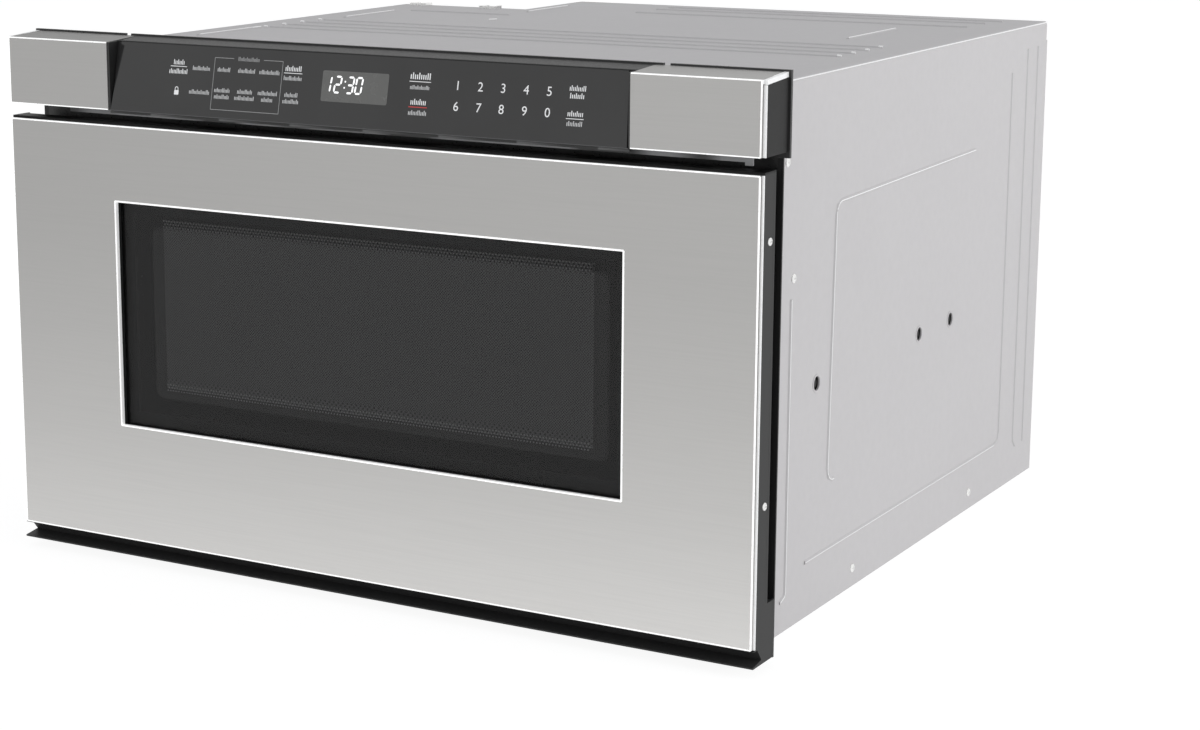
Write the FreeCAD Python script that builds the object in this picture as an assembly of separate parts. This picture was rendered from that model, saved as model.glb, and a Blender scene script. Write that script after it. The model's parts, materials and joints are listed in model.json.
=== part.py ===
import FreeCAD, Part
import math
import os

# Microwave drawer for a cabinet opening. X runs to the right, Y to the rear, Z up; the origin is under the
# middle of the overall box. "Depth" below means the distance behind the front plane of the drawer.

# ---------------------------------------------------------------- driving dimensions, mm
# overall
overall_width = 600.1            # over the trim flange
overall_depth = 595.3            # front plane to the rear edge of the casing
overall_height = 382.6           # underside to the top of the trim flange

# casing
body_side_reveal = 24.95         # trim flange beyond the casing on each side
body_top_reveal = 12.4           # trim flange above the casing
wrap_sheet = 1.0
wrap_bend = 3.0                  # outside bend radius along the top edges
base_sheet = 1.2
base_flange = 22.0
back_sheet = 1.0
back_inset = 2.2                 # rear panel lies this far inside the wrap's rear edge
back_lip = 14.0                  # height of the wrap's trimmed lip over the rear panel
recess_width = 123.7             # rear left recess for the outlet
recess_depth = 99.5

# pressed beads, placed from the casing's edges
bead_width = 3.2
bead_height = 0.9
cross_bead_count = 4
cross_bead_start = 206.4         # first cross bead behind the casing's front edge
cross_bead_pitch = 25.3
cross_bead_left = 37.1
cross_bead_right = 34.1
rear_beads = ((86.3, 37.1), (48.3, 36.1), (25.3, 30.1))          # from the rear edge, from the right side
rear_bead_start = 100.4          # from the recess's side wall
front_left_bead = (30.1, 120.9, 188.9)  # from the left side; start and end behind the front edge
rear_left_bead = (36.1, 145.8, 69.8)    # from the left side; start and end before the recess
right_bead = (79.1, 222.3, 129.3)       # from the right side; start and end before the rear edge
recess_bead = (16.4, 124.3, 53.3)       # from the recess's side; start and end before the rear edge
recess_cross_bead = (47.1, 17.4, 59.8)  # ends from the left side and the recess's side; before the recess
bead_corner = 9.0                # corner radius of the side sheets' lines
bead_hook_corner = 4.0
arch_rear = 159.6                # arched line: its rear end before the rear edge
arch_rear_drop = 85.4
arch_front = 132.9               # its upper corner behind the casing's front edge
arch_front_drop = 89.7
arch_foot = 127.7
arch_hook = 11.2
arch_low = 88.0
front_line = 60.9                # short upright line near the front edge
front_line_drop = 144.2
front_line_low = 25.0
front_line_hook = 8.0
front_line_kick = 3.0
corner_line_rear = 81.3          # cornered line round the side's lower rear
corner_line_left = 25.8          # and on the left, before the recess
corner_line_drop = 34.2
corner_line_low = 39.5
corner_line_front = 92.9
rear_line = 46.3
rear_line_last = 22.3
rear_line_drop = 18.2
rear_line_low = 28.0
rear_line_hook = 6.0

# base plate and rear panel
rib_place = 110.0
rib_width = 28.0
rib_height = 3.0
rib_slope = 3.0
rib_wall = 1.0                   # the groove under a rib is this much smaller all round
rib_front_gap = 60.0             # behind the gearbox's output shaft
rib_rear_gap = 6.0               # before the rear stand
base_vent_count = 6
base_vent_width = 6.0
base_vent_pitch = 14.0
base_vent_length = 55.0
base_vent_start = 34.9           # behind the cavity's rear wall
base_vent_place = -40.0
louvre_width = 48.0
louvre_height = 14.0
louvre_pitch = 32.0
louvre_pitch_x = 60.0
louvre_rows = 3
louvre_first = 56.4              # single column, from the recess's side
louvre_gap = 0.4                 # hoods end this far inside the casing's rear edge
louvre_seat = 0.2
louvre_slot = 11.8
louvre_drop = 165.2              # lowest louvre below the casing's top
tab_places = (21.1, 91.1)        # recess hooks, from the casing's left side
tab_width = 16.0
tab_sheet = 1.2
tab_rise = 2.2
tab_drop = 22.0
tab_reach = 10.0
tab_slot = 8.0

# front module
module_depth = 37.1              # everything in front of the casing
plate_thickness = 1.5            # black front plate
plate_side_reveal = 8.55         # trim flange beyond the plate
plate_step = 1.0                 # plate's upper part inside the casing's width
plate_bottom = 4.0
panel_height = 47.5              # control panel face
lip_height = 3.2                 # flange lip above the panel
lip_thickness = 2.5
flange_drop = 3.9                # flange below the panel
panel_lean = 10.0                # the touch glass leans back by this much over its height
glass_side_gap = 2.1             # from the wing to the glass's lower corner
glass_taper = 4.0                # each upper corner lies this much further in
glass_thickness = 2.0
wing_width = 89.3                # stainless wing on each side of the panel
wing_side_reveal = 3.85          # flange beyond the wing
wing_bend = 1.2
cheek_wall = 1.6                 # dark wall between wing and glass
lip_gap = 5.0                    # slits in the flange lip
lip_gap_offset = 5.3             # from the wing's inner edge to the slit
skin_sheet = 0.8
skin_bend = 0.7
hem = 3.0
panel_wall = 2.5
display_centre = -1.9
display_width = 52.6
display_rise = 16.1              # display's lower edge above the panel's
display_height = 20.3
display_gap = 0.5
board_front = 24.0
board_thickness = 1.6
board_inset = 26.9               # from the wing's inner edge
board_back_gap = 0.8             # from the tallest part to the front plate
board_edge_gap = 1.0
relay_inset = 39.0               # from the board's end
relay_pitch = 24.0
relay_width = 18.0
relay_height = 16.0
relay_rise = 10.0                # above the panel's lower edge
socket_width = 48.0
socket_height = 6.0
socket_rise = 8.0
socket_depth = 5.0
board_can_radius = 5.0
board_can_place = -60.0
board_can_rise = 18.0

# drawer front
drawer_gap = 11.0                # between panel and drawer
skin_rise = 18.6                 # skin's lower edge above the underside
skin_return = 8.0
skin_show = 3.6                  # skin's folded edge that shows in front of the frame
trim_height = 12.2               # black trim below the skin
frame_reveal = 1.6               # black frame beyond the skin on each side
frame_wall = 1.7
frame_depth = 17.3
frame_web = 2.5
foot_depth = 28.4                # deeper lower part of the frame
foot_top = 45.0
foot_wall = 2.5
foot_floor = 5.5
foot_roof = 2.0
groove_depth = 13.0
groove_lip = 1.0
groove_apex = 3.1                # above the trim's lower edge
groove_nose = 1.2
groove_toe = 0.4
window_side_margin = 92.9        # from the skin's side to the window
window_drop = 53.9               # from the skin's top edge to the window
window_rise = 84.9               # from the skin's lower edge to the window
window_recess = 6.5
window_glass_thickness = 3.0
window_glass_lap = 2.2
window_frame_lap = 9.0
bezel_wall = 1.6                 # moulded lip that holds the glass behind the skin
frame_rib = 2.4
frame_rib_places = (16.7, 51.7)  # upright ribs, from the window's side
frame_rib_rise = 41.4
frame_rib_drop = 20.9
level_rib_low = 33.5             # below the window
level_rib_high = 23.0            # above it
level_rib_inset = 3.3
door_sheet = 1.2
door_panel_depth = 18.0
door_panel_inset = 28.2          # inside the skin's sides
door_panel_drop = 6.9            # below the skin's top
door_panel_foot_gap = 1.0
choke_side = 26.3                # choke's outer wall beyond the cavity's sides
choke_rise = 22.3                # and beyond its floor and ceiling
choke_wall = 2.0
choke_gap = 1.0                  # from the choke's mouth to the drawer box
inner_pane_thickness = 3.0
inner_pane_gap = 1.0
inner_pane_rise = 13.0
inner_pane_drop = 10.0

# cavity and drawer box
cavity_side_space = 52.1         # from the casing's side to the cavity
rear_space = 125.2               # from the cavity's rear wall to the rear edge
top_space = 94.2                 # from the cavity's ceiling to the casing's top
cavity_floor = 86.0
liner_sheet = 1.0
liner_flange = 12.0
liner_rib_drops = (46.0, 26.0)   # below the cavity's ceiling
liner_rib_rise = 2.0
liner_rib_width = 8.0
liner_rib_crest = 3.0
liner_rib_front = 52.9
liner_rib_rear = 40.1
liner_vent_count = 6
liner_vent_pitch = 11.0
liner_vent_width = 5.0
liner_vent_place = 113.0         # from the cavity's right side to the first vent
liner_vent_drop = 71.0
liner_vent_height = 40.0
dome_width = 170.0
dome_depth = 170.0
dome_height = 15.0
dome_slant = 8.0
dome_offset = 16.4               # behind the cavity's middle
cover_lap = 6.0
cover_thickness = 1.8
cover_bevel = 1.0
tub_gap = 2.5                    # drawer box to liner at the sides
tub_floor_gap = 2.0
tub_rear_gap = 4.0
tub_sheet = 1.0
tub_front_drop = 38.0            # side's front end below the cavity's ceiling
tub_rear_drop = 76.0
tub_level = 60.0                 # level stretch before the side slopes down
tub_rim = 10.0
tub_hem = 4.0
tray_thickness = 5.0
tray_gap = 4.0
tray_corner = 12.0
tray_rim = 9.0
tray_dish = 1.0
stand_setback = 40.0             # rear stand, in front of the cavity's rear wall
stand_depth = 30.0
stand_sheet = 2.0
stand_inset = 73.0               # inside the cavity's side
stand_window_count = 3
stand_window_margin = 25.0
stand_window_gap = 35.0
stand_window_rise = 19.0

# interlock
latch_drop = 7.0                 # below the door panel's top
latch_inset = 63.0               # inside the cavity's side
latch_half = 3.0
latch_rise = 4.5
latch_reach = 34.0
latch_foot = 8.0
latch_foot_sheet = 2.0
latch_low = 2.5                  # hook's lower edge under the latch height
latch_web = 0.5
latch_tooth = 3.0
latch_ramp = 4.0
latch_crest = 9.0
latch_heel = 1.0
switch_width = 22.0
switch_length = 28.0
switch_height = 8.0
switch_start = 6.0
switch_inset = 16.5              # bracket's face beside the hook's middle
switch_below = 5.0
switch_above = 5.5
switch_tab_inset = 4.0
bracket_height = 40.0
bracket_length = 46.0
bracket_drop = 13.0
switch_bracket_sheet = 1.5
switch_bracket_foot = 10.0

# slides
rail_rise = 75.2                 # the access holes show the rails' height above the cavity's floor
rail_start = 42.0
rail_overhang = 11.9             # behind the cavity's rear wall
rail_overlap = 59.0              # rail length minus travel
rail_sheet = 1.2
rail_half = 22.5
rail_depth = 12.7
rail_lip = 3.2
outer_ball = 4.5                 # race gap between outer and middle member
inner_ball = 3.5
ball_clearance = 0.03
middle_web_gap = 1.1
middle_depth = 7.9
inner_depth = 6.7
inner_race_inset = 1.9
cage_sheet = 0.8
cage_lip = 0.2
cage_edge = 0.6
cage_end = 8.0                   # from a cage's end to its ball
cage_middle_gap = 40.0
cage_end_gap = 20.0
arm_sheet = 2.0
arm_length = 205.0
arm_half = 10.5
arm_flare = 8.0
arm_flare_bend = 12.0
arm_flare_length = 16.0
arm_foot = 9.0
arm_foot_gap = 0.5
bracket_sheet = 2.0
bracket_foot = 18.0
bracket_front = 18.0             # behind the rail's front end
bracket_rear = 14.0              # before its rear end
bracket_window_count = 3
bracket_window_margin = 22.0
bracket_window_gap = 20.0
bracket_window_low = 40.0
bracket_window_drop = 14.0
screw_head_height = 1.5
screw_head_radius = 4.2
screw_crown_radius = 2.94
screw_radius = 2.0
access_hole_radius = 6.0
access_front = 101.6             # first access hole behind the rail's front end
access_rear = (151.0, 87.4)      # the others before its rear end
low_screw_height = 13.5
low_screw_front = 173.0
low_screw_rear = 33.3
high_screw_depth = 64.4          # behind the casing's front edge
high_screw_drop = 130.6
frame_screw_rise = 91.9          # above the skin's lower edge
frame_screw_drop = 41.9
frame_screw_setback = 5.0

# drive
shaft_depth = 75.0               # depth of the cross shaft's axis
shaft_height = 30.0
shaft_radius = 4.0
shaft_clearance = 0.05
rack_module = 3.0
pinion_teeth = 14
rack_inset = 18.0                # inside the cavity's side
rack_width = 10.0
rack_back = 10.0                 # from pitch line to the rack's top
rack_run_in = 25.0               # plain stretch behind the door panel
rack_overrun = 10.0
rack_nose = 4.0
rack_foot = 14.0
rack_foot_sheet = 3.0
rack_foot_gap = 1.5
pinion_width = 12.0
shaft_overhang = 4.0
hub_wall = 4.0
wheel_hub = 5.0
gear_module = 2.0
wheel_teeth = 24
motor_gear_teeth = 18
gear_width = 8.0
wheel_place = -58.0
bearing_inset = 17.0             # inside the rack
bearing_width = 8.0
bearing_radius = 9.0
bearing_foot = 22.0
bearing_foot_height = 4.0
bearing_shoulder = 6.0
backlash = 0.35
dedendum = 1.25                  # root depth in modules
pressure_angle = math.radians(20)
output_radius = 3.0
output_clearance = 0.15
output_length = 14.0
output_depth = 12.0              # bore in the gearbox
gearbox_side_gap = 2.0           # between gear and gearbox
gearbox_width = 34.0
gearbox_front = 15.0
gearbox_rear = 38.0
gearbox_bottom = 7.0
gearbox_height = 51.0
gearbox_chamfer = 5.0
gearbox_foot = 10.0
gearbox_foot_inset = 4.0
boss_radius = 7.0
boss_length = 1.5
motor_radius = 17.0
motor_length = 62.0
motor_setback = 16.0
motor_rise = 6.0                 # motor axis above the shaft's
motor_boss_radius = 6.0
motor_boss_length = 5.0
motor_tab = 7.0
motor_tab_place = 10.5
motor_tab_sheet = 3.0
motor_tab_width = 4.0

# microwave parts
guide_height = 42.0
guide_half = 45.0
guide_rear_gap = 12.0
guide_front_reach = 50.0
feed_radius = 26.0
launch_radius = 12.0
magnetron_setback = 65.0
magnetron_height = 87.0
magnetron_half = 44.0
magnetron_half_depth = 38.0
magnetron_wall = 1.5
anode_radius = 19.0
fin_count = 5
fin_start = 15.0
fin_pitch = 12.0
fin_sheet = 0.8
fin_inset = 2.0
antenna_radius = 8.0
antenna_rise = 24.0
filter_half = 30.0
filter_height = 34.0
filter_inset = 6.0
stirrer_hole = 4.0
stirrer_sheet = 1.0
stirrer_rise = 7.0
stirrer_shaft_end = 6.0          # in the motor
stirrer_shaft_radius = 2.5
stirrer_hub_radius = 7.0
stirrer_arm = 58.0
stirrer_arm_width = 20.0
stirrer_lip = 4.0
stirrer_motor_radius = 24.0
stirrer_motor_height = 15.0
stirrer_ear = 33.0
stirrer_ear_width = 10.0
stirrer_ear_sheet = 1.5
stirrer_socket = 8.0
plug_width = 12.0
plug_length = 9.0
plug_height = 8.0
plug_rise = 3.0
socket_clearance = 0.2

# electrics in the rear compartment
transformer_inset = 39.1         # from the casing's side
transformer_width = 86.0
transformer_start = 19.9         # behind the cavity's rear wall
transformer_depth = 72.0
transformer_height = 78.0
transformer_foot = 12.0
transformer_plate = 3.0
plate_inset = 6.0
core_inset = 12.0
winding_margin = 13.0
winding_heights = ((16.0, 38.0), (42.0, 66.0))
winding_chamfer = 7.0
capacitor_gap = 38.0             # beside the transformer
capacitor_width = 52.0
capacitor_start = 29.9
capacitor_depth = 32.0
capacitor_height = 92.0
capacitor_chamfer = 10.0
strap_height = 14.0
strap_rise = 30.0
strap_sheet = 2.0
strap_margin = 8.0
strap_foot = 22.0
terminal_inset = 14.0
terminal_width = 6.0
terminal_sheet = 0.8
terminal_length = 8.0
filter_board_start = 4.2         # behind the recess's front wall
filter_board_length = 84.0
filter_board_low = 60.0
filter_board_height = 90.0
filter_board_gap = 6.0
post_radius = 3.0
post_inset = 6.0
coil_radius = 15.0
coil_bore = 6.0
coil_width = 17.0
coil_place = 30.0
coil_drop = 30.0
fuse_place = 29.0
fuse_width = 7.0
fuse_length = 30.0
fuse_height = 7.0
fuse_rise = 15.0
film_place = 8.0
film_length = 14.0
film_width = 18.0
film_depth = 12.0
film_rise = 10.0
film_pitch = 22.0
cutout_inset = 123.0             # from the cavity's left side
cutout_drop = 36.0
cutout_radius = 8.0
cutout_height = 9.0
cutout_sheet = 1.0
cutout_ear = 14.0
cutout_ear_width = 12.0
cutout_tab_place = 4.5
lamp_inset = 73.0
lamp_setback = 90.0              # behind the dome's centre
lamp_half = 18.0
lamp_half_depth = 16.0
lamp_height = 24.0
lamp_wall = 3.0
lamp_port_half = 12.0
lamp_tab_place = 7.0
lamp_tab_width = 4.0
bulb_radius = 6.0
bulb_rise = 4.0

# cooling
fan_inset = 140.1                # from the casing's side
fan_drop = 26.0                  # below the cavity's ceiling
fan_half = 58.0
fan_depth = 38.0
fan_bore = 53.0
strut_width = 6.0
strut_thickness = 3.0
fan_motor_radius = 16.0
fan_motor_depth = 12.0
fan_shaft_radius = 2.5
rotor_radius = 49.5
rotor_hub = 19.0
rotor_start = 5.0
fan_shaft_start = 4.0
blade_count = 7
blade_half = 0.9
blade_inset = 1.0
blade_root = 2.0
blade_pitch = 38.0               # degrees
duct_wall = 1.6
duct_gap = 8.0
duct_side_gap = 0.5
duct_top_gap = 1.0
duct_bend = 50.0

# cord gland
gland_bore = 4.2
gland_neck = 8.0
gland_height = 40.0
gland_setback = 49.2             # behind the recess's front wall
gland_head = 12.0
gland_nut = 13.0
gland_cap = 9.5
gland_head_length = 9.0
gland_cap_length = 8.0
gland_tail = 8.0
gland_nut_length = 5.0

# clearances
running_gap = 0.3                # between pieces of different bodies
slot_gap = 1.5                   # around what passes through the front plate
piece_gap = 0.1                  # loose fit inside one body
over = 1.0                       # how far a cutting tool passes the face it cuts

# cabinet screws through the front plate
cabinet_hole_radius = 2.25
cabinet_hole_inset = 5.5
cabinet_hole_rise = 36.0         # above the plate's lower edge
cabinet_hole_drop = 28.0         # below the trim flange

# ---------------------------------------------------------------- derived places
half_width = overall_width / 2
half_body = half_width - body_side_reveal
body_height = overall_height - body_top_reveal
panel_top = overall_height - lip_height
panel_bottom = panel_top - panel_height
flange_bottom = panel_bottom - flange_drop
flange_front = module_depth - lip_thickness
wing_outer = half_width - wing_side_reveal
wing_inner = wing_outer - wing_width
glass_low_half = wing_inner - glass_side_gap
glass_high_half = glass_low_half - glass_taper
display_low = panel_bottom + display_rise
display_high = display_low + display_height
skin_half = wing_outer
skin_top = panel_bottom - drawer_gap
skin_bottom = skin_rise
frame_half = skin_half + frame_reveal
frame_bottom = skin_bottom - trim_height
window_half = skin_half - window_side_margin
window_top = skin_top - window_drop
window_bottom = skin_bottom + window_rise
web_front = window_recess + window_glass_thickness
plate_front = module_depth - plate_thickness
plate_half = half_width - plate_side_reveal
plate_upper_half = half_body - plate_step
door_back = plate_front - running_gap
door_plate_back = door_panel_depth + door_sheet
door_panel_half = skin_half - door_panel_inset
door_panel_top = skin_top - door_panel_drop
cavity_half = half_body - cavity_side_space
cavity_top = body_height - top_space
cavity_back = overall_depth - rear_space
liner_bottom = cavity_floor - liner_sheet
liner_top = cavity_top + liner_sheet
tub_half = cavity_half - tub_gap
tub_bottom = cavity_floor + tub_floor_gap
tub_back = cavity_back - tub_rear_gap
tub_top_front = cavity_top - tub_front_drop
tub_top_rear = cavity_top - tub_rear_drop
dome_centre = (module_depth + cavity_back) / 2 + dome_offset
recess_side = -half_body + recess_width
recess_front = overall_depth - recess_depth
inside_half = half_body - wrap_sheet
inside_top = body_height - wrap_sheet
rear_plate_out = overall_depth - back_inset
rear_plate_in = rear_plate_out - back_sheet

rail_height_z = cavity_floor + rail_rise
rail_end = cavity_back + rail_overhang
rail_length = rail_end - rail_start
rail_travel = rail_length - rail_overlap
bracket_out = inside_half - screw_head_height - piece_gap
rail_back = bracket_out - bracket_sheet
rail_mouth = rail_back - rail_depth
middle_half = rail_half - rail_sheet - outer_ball
middle_back = rail_back - rail_sheet - middle_web_gap
inner_half = middle_half - rail_sheet - inner_ball
arm_inner = rail_mouth - arm_sheet
switch_x0 = cavity_half - latch_inset - switch_inset
access_depths = (rail_start + access_front, rail_end - access_rear[0], rail_end - access_rear[1])
low_screw_places = ((rail_start + low_screw_front, low_screw_height),
                    (rail_end - low_screw_rear, low_screw_height))
body_screw_places = low_screw_places + ((module_depth + high_screw_depth, body_height - high_screw_drop),)
frame_screw_heights = (skin_bottom + frame_screw_rise, skin_top - frame_screw_drop)
cabinet_hole_heights = (plate_bottom + cabinet_hole_rise, flange_bottom - cabinet_hole_drop)

rack_spread = cavity_half - rack_inset
bearing_place = rack_spread - bearing_inset
pinion_radius = rack_module * pinion_teeth / 2
pitch_line = shaft_height + pinion_radius
wheel_radius = gear_module * wheel_teeth / 2
motor_gear_radius = gear_module * motor_gear_teeth / 2
motor_shaft_depth = shaft_depth + wheel_radius + motor_gear_radius
rack_top = pitch_line + rack_back
rack_tip = pitch_line - rack_module
rack_end = shaft_depth + rail_travel + rack_overrun
gearbox_x0 = wheel_place + gear_width / 2 + gearbox_side_gap
gearbox_x1 = gearbox_x0 + gearbox_width

latch_height = door_panel_top - latch_drop
latch_place = cavity_half - latch_inset
guide_low = liner_top + dome_height
guide_high = guide_low + guide_height
guide_back = rear_plate_in - guide_rear_gap
guide_front = dome_centre - guide_front_reach
magnetron_depth = cavity_back + magnetron_setback
magnetron_low = guide_low - magnetron_height
lamp_x = cavity_half - lamp_inset
lamp_depth = dome_centre + lamp_setback
fan_x = half_body - fan_inset
fan_z = cavity_top - fan_drop
fan_back = rear_plate_in
fan_front = fan_back - fan_depth
gland_depth = recess_front + gland_setback
transformer_x0 = half_body - transformer_inset - transformer_width
transformer_front = cavity_back + transformer_start


# ---------------------------------------------------------------- helpers
def vec(x, depth, z):
    return FreeCAD.Vector(x, depth - overall_depth / 2, z)


def block(x0, x1, d0, d1, z0, z1):
    return Part.makeBox(x1 - x0, d1 - d0, z1 - z0, vec(x0, d0, z0))


def prism_x(outline, x0, x1):
    """Outline of (depth, z) points, extruded along X."""
    points = [vec(x0, d, z) for d, z in outline]
    return Part.Face(Part.makePolygon(points + points[:1])).extrude(FreeCAD.Vector(x1 - x0, 0, 0))


def prism_y(outline, d0, d1):
    """Outline of (x, z) points, extruded along Y."""
    points = [vec(x, d0, z) for x, z in outline]
    return Part.Face(Part.makePolygon(points + points[:1])).extrude(FreeCAD.Vector(0, d1 - d0, 0))


def prism_z(outline, z0, z1):
    """Outline of (x, depth) points, extruded along Z."""
    points = [vec(x, d, z0) for x, d in outline]
    return Part.Face(Part.makePolygon(points + points[:1])).extrude(FreeCAD.Vector(0, 0, z1 - z0))


def rod_x(radius, x0, x1, depth, z):
    return Part.makeCylinder(radius, x1 - x0, vec(x0, depth, z), FreeCAD.Vector(1, 0, 0))


def rod_y(radius, d0, d1, x, z):
    return Part.makeCylinder(radius, d1 - d0, vec(x, d0, z), FreeCAD.Vector(0, 1, 0))


def polygon(radius, sides, across, up):
    """Corners of a regular polygon round a centre, as pairs."""
    step = 2 * math.pi / sides
    return [(across + radius * math.cos(step * (k + 0.5)), up + radius * math.sin(step * (k + 0.5)))
            for k in range(sides)]


def bar_x(radius, sides, x0, x1, depth, z):
    """Many-sided bar along X, for small round pieces."""
    return prism_x(polygon(radius, sides, depth, z), x0, x1)


def bar_y(radius, sides, d0, d1, x, z):
    return prism_y(polygon(radius, sides, x, z), d0, d1)


def bar_z(radius, sides, z0, z1, x, depth):
    return prism_z(polygon(radius, sides, x, depth), z0, z1)


def mirrored(shape):
    return shape.mirror(FreeCAD.Vector(0, 0, 0), FreeCAD.Vector(1, 0, 0))


def both_sides(shape):
    return [shape, mirrored(shape)]


def fused(shapes):
    return shapes[0].multiFuse(shapes[1:]).removeSplitter()


def with_cuts(shape, tools):
    return shape.cut(Part.makeCompound(tools))


def frustum(low, high, rise_axis):
    """Solid between two rectangles; each is (a0, a1, b0, b1, level) and rise_axis names the level's axis."""
    wires = []
    for a0, a1, b0, b1, level in (low, high):
        corners = ((a0, b0), (a1, b0), (a1, b1), (a0, b1))
        if rise_axis == "z":
            points = [vec(a, b, level) for a, b in corners]
        else:
            points = [vec(level, a, b) for a, b in corners]
        wires.append(Part.makePolygon(points + points[:1]))
    return Part.makeLoft(wires, True, True)


def save(name, *solids):
    shape = solids[0] if len(solids) == 1 else Part.makeCompound(list(solids))
    for index, solid in enumerate(solids):
        if not solid.isValid() or len(solid.Solids) != 1:
            print("check", name, index, solid.isValid(), len(solid.Solids))
    shape.exportStep("parts/" + name + ".step")


# ---------------------------------------------------------------- casing
def top_bead(x0, x1, d0, d1):
    """A bead pressed upward out of the top sheet, given by its centre line."""
    across = bead_width / 2
    flat = across - bead_height
    low = (x0 - across, x1 + across, d0 - across, d1 + across, body_height)
    high = (x0 - flat, x1 + flat, d0 - flat, d1 + flat, body_height + bead_height)
    return frustum(low, high, "z")


def top_beads():
    """All beads of the top sheet: the cross beads, then the ones along the sides, recess and rear edge."""
    left, right = -half_body, half_body
    beads = []
    for index in range(cross_bead_count):
        depth = module_depth + cross_bead_start + cross_bead_pitch * index
        beads.append(top_bead(left + cross_bead_left, right - cross_bead_right, depth, depth))
    inset, start, end = front_left_bead
    beads.append(top_bead(left + inset, left + inset, module_depth + start, module_depth + end))
    inset, start, end = rear_left_bead
    beads.append(top_bead(left + inset, left + inset, recess_front - start, recess_front - end))
    inset, start, end = right_bead
    beads.append(top_bead(right - inset, right - inset, overall_depth - start, overall_depth - end))
    inset, start, end = recess_bead
    x = recess_side + inset
    beads.append(top_bead(x, x, overall_depth - start, overall_depth - end))
    near, far, gap = recess_cross_bead
    beads.append(top_bead(left + near, recess_side + far, recess_front - gap, recess_front - gap))
    for gap, inset in rear_beads:
        depth = overall_depth - gap
        beads.append(top_bead(recess_side + rear_bead_start, right - inset, depth, depth))
    return beads


def swept_bead(points, corner, side):
    """A bead on a side sheet along (depth, z) points, with each corner rounded in two chords."""
    path = [points[0]]
    for previous, bend, following in zip(points, points[1:], points[2:]):
        back = math.hypot(previous[0] - bend[0], previous[1] - bend[1])
        ahead = math.hypot(following[0] - bend[0], following[1] - bend[1])
        to_back = ((previous[0] - bend[0]) / back, (previous[1] - bend[1]) / back)
        to_ahead = ((following[0] - bend[0]) / ahead, (following[1] - bend[1]) / ahead)
        half_turn = math.acos(to_back[0] * to_ahead[0] + to_back[1] * to_ahead[1]) / 2
        reach = corner / math.tan(half_turn)
        bisector = (to_back[0] + to_ahead[0], to_back[1] + to_ahead[1])
        apex = (corner / math.sin(half_turn) - corner) / math.hypot(*bisector)
        path.append((bend[0] + to_back[0] * reach, bend[1] + to_back[1] * reach))
        path.append((bend[0] + bisector[0] * apex, bend[1] + bisector[1] * apex))
        path.append((bend[0] + to_ahead[0] * reach, bend[1] + to_ahead[1] * reach))
    path.append(points[-1])
    spine = Part.makePolygon([vec(side, d, z) for d, z in path])
    first, second = path[0], path[1]
    run = math.hypot(second[0] - first[0], second[1] - first[1])
    normal = (-(second[1] - first[1]) / run, (second[0] - first[0]) / run)
    across = bead_width / 2
    flat = across - bead_height
    section = []
    for offset, rise in ((-across, -wrap_sheet / 2), (-across, 0), (-flat, bead_height),
                         (flat, bead_height), (across, 0), (across, -wrap_sheet / 2)):
        section.append(vec(side + rise, first[0] + normal[0] * offset, first[1] + normal[1] * offset))
    profile = Part.makePolygon(section + section[:1])
    return spine.makePipeShell([profile], True, False, 1)


def side_beads(rear_limit):
    """One side's pressed lines, in (depth, z), as far back as that side reaches."""
    front, top = module_depth, body_height
    arch = ((overall_depth - arch_rear, top - arch_rear_drop), (front + arch_front, top - arch_front_drop),
            (front + arch_foot, arch_low), (front + arch_foot + arch_hook, arch_low))
    strip = ((front + front_line, top - front_line_drop), (front + front_line, front_line_low),
             (front + front_line - front_line_hook, front_line_low - front_line_kick))
    lines = [(arch, bead_corner), (strip, bead_hook_corner)]
    if rear_limit > recess_front:
        corner_line = rear_limit - corner_line_rear
        hooked = rear_limit - rear_line
        lines.append((((hooked, top - rear_line_drop), (hooked, rear_line_low + rear_line_hook),
                       (hooked + rear_line_hook, rear_line_low)), bead_hook_corner))
        plain = rear_limit - rear_line_last
        lines.append((((plain, top - rear_line_drop), (plain, rear_line_low)), bead_hook_corner))
    else:
        corner_line = rear_limit - corner_line_left
    lines.append((((corner_line, top - corner_line_drop), (corner_line, corner_line_low),
                   (front + corner_line_front, corner_line_low)), bead_corner))
    return [swept_bead(points, corner, half_body) for points, corner in lines]


def outer_wrap():
    """Top and both sides in one bent sheet, with pressed beads and the recess cut out."""
    casing = block(-half_body, half_body, module_depth, overall_depth, 0, body_height)
    top_edges = [e for e in casing.Edges
                 if e.BoundBox.ZMin > body_height - wrap_sheet and e.BoundBox.YLength > wrap_bend]
    casing = casing.makeFillet(wrap_bend, top_edges)
    hollow = block(-inside_half, inside_half, module_depth - over, overall_depth + over, -over, inside_top)
    corner = block(-half_body - over, recess_side, recess_front, overall_depth + over, -over,
                   body_height + over)
    reveal = block(-half_body - over, half_body + over, rear_plate_out, overall_depth + over,
                   inside_top - back_lip, inside_top)
    sheet = with_cuts(casing, [hollow, corner, reveal])
    holes = []
    for depth in access_depths:
        hole = bar_x(access_hole_radius, 18, inside_half - over, half_body + over, depth, rail_height_z)
        holes += both_sides(hole)
    for depth, z in body_screw_places:
        holes += both_sides(screw_hole(half_body, depth, z, wrap_sheet))
    sheet = with_cuts(sheet, holes)
    left_beads = [mirrored(bead) for bead in side_beads(recess_front)]
    save("outer_wrap", fused([sheet] + top_beads() + side_beads(overall_depth) + left_beads))


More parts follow.
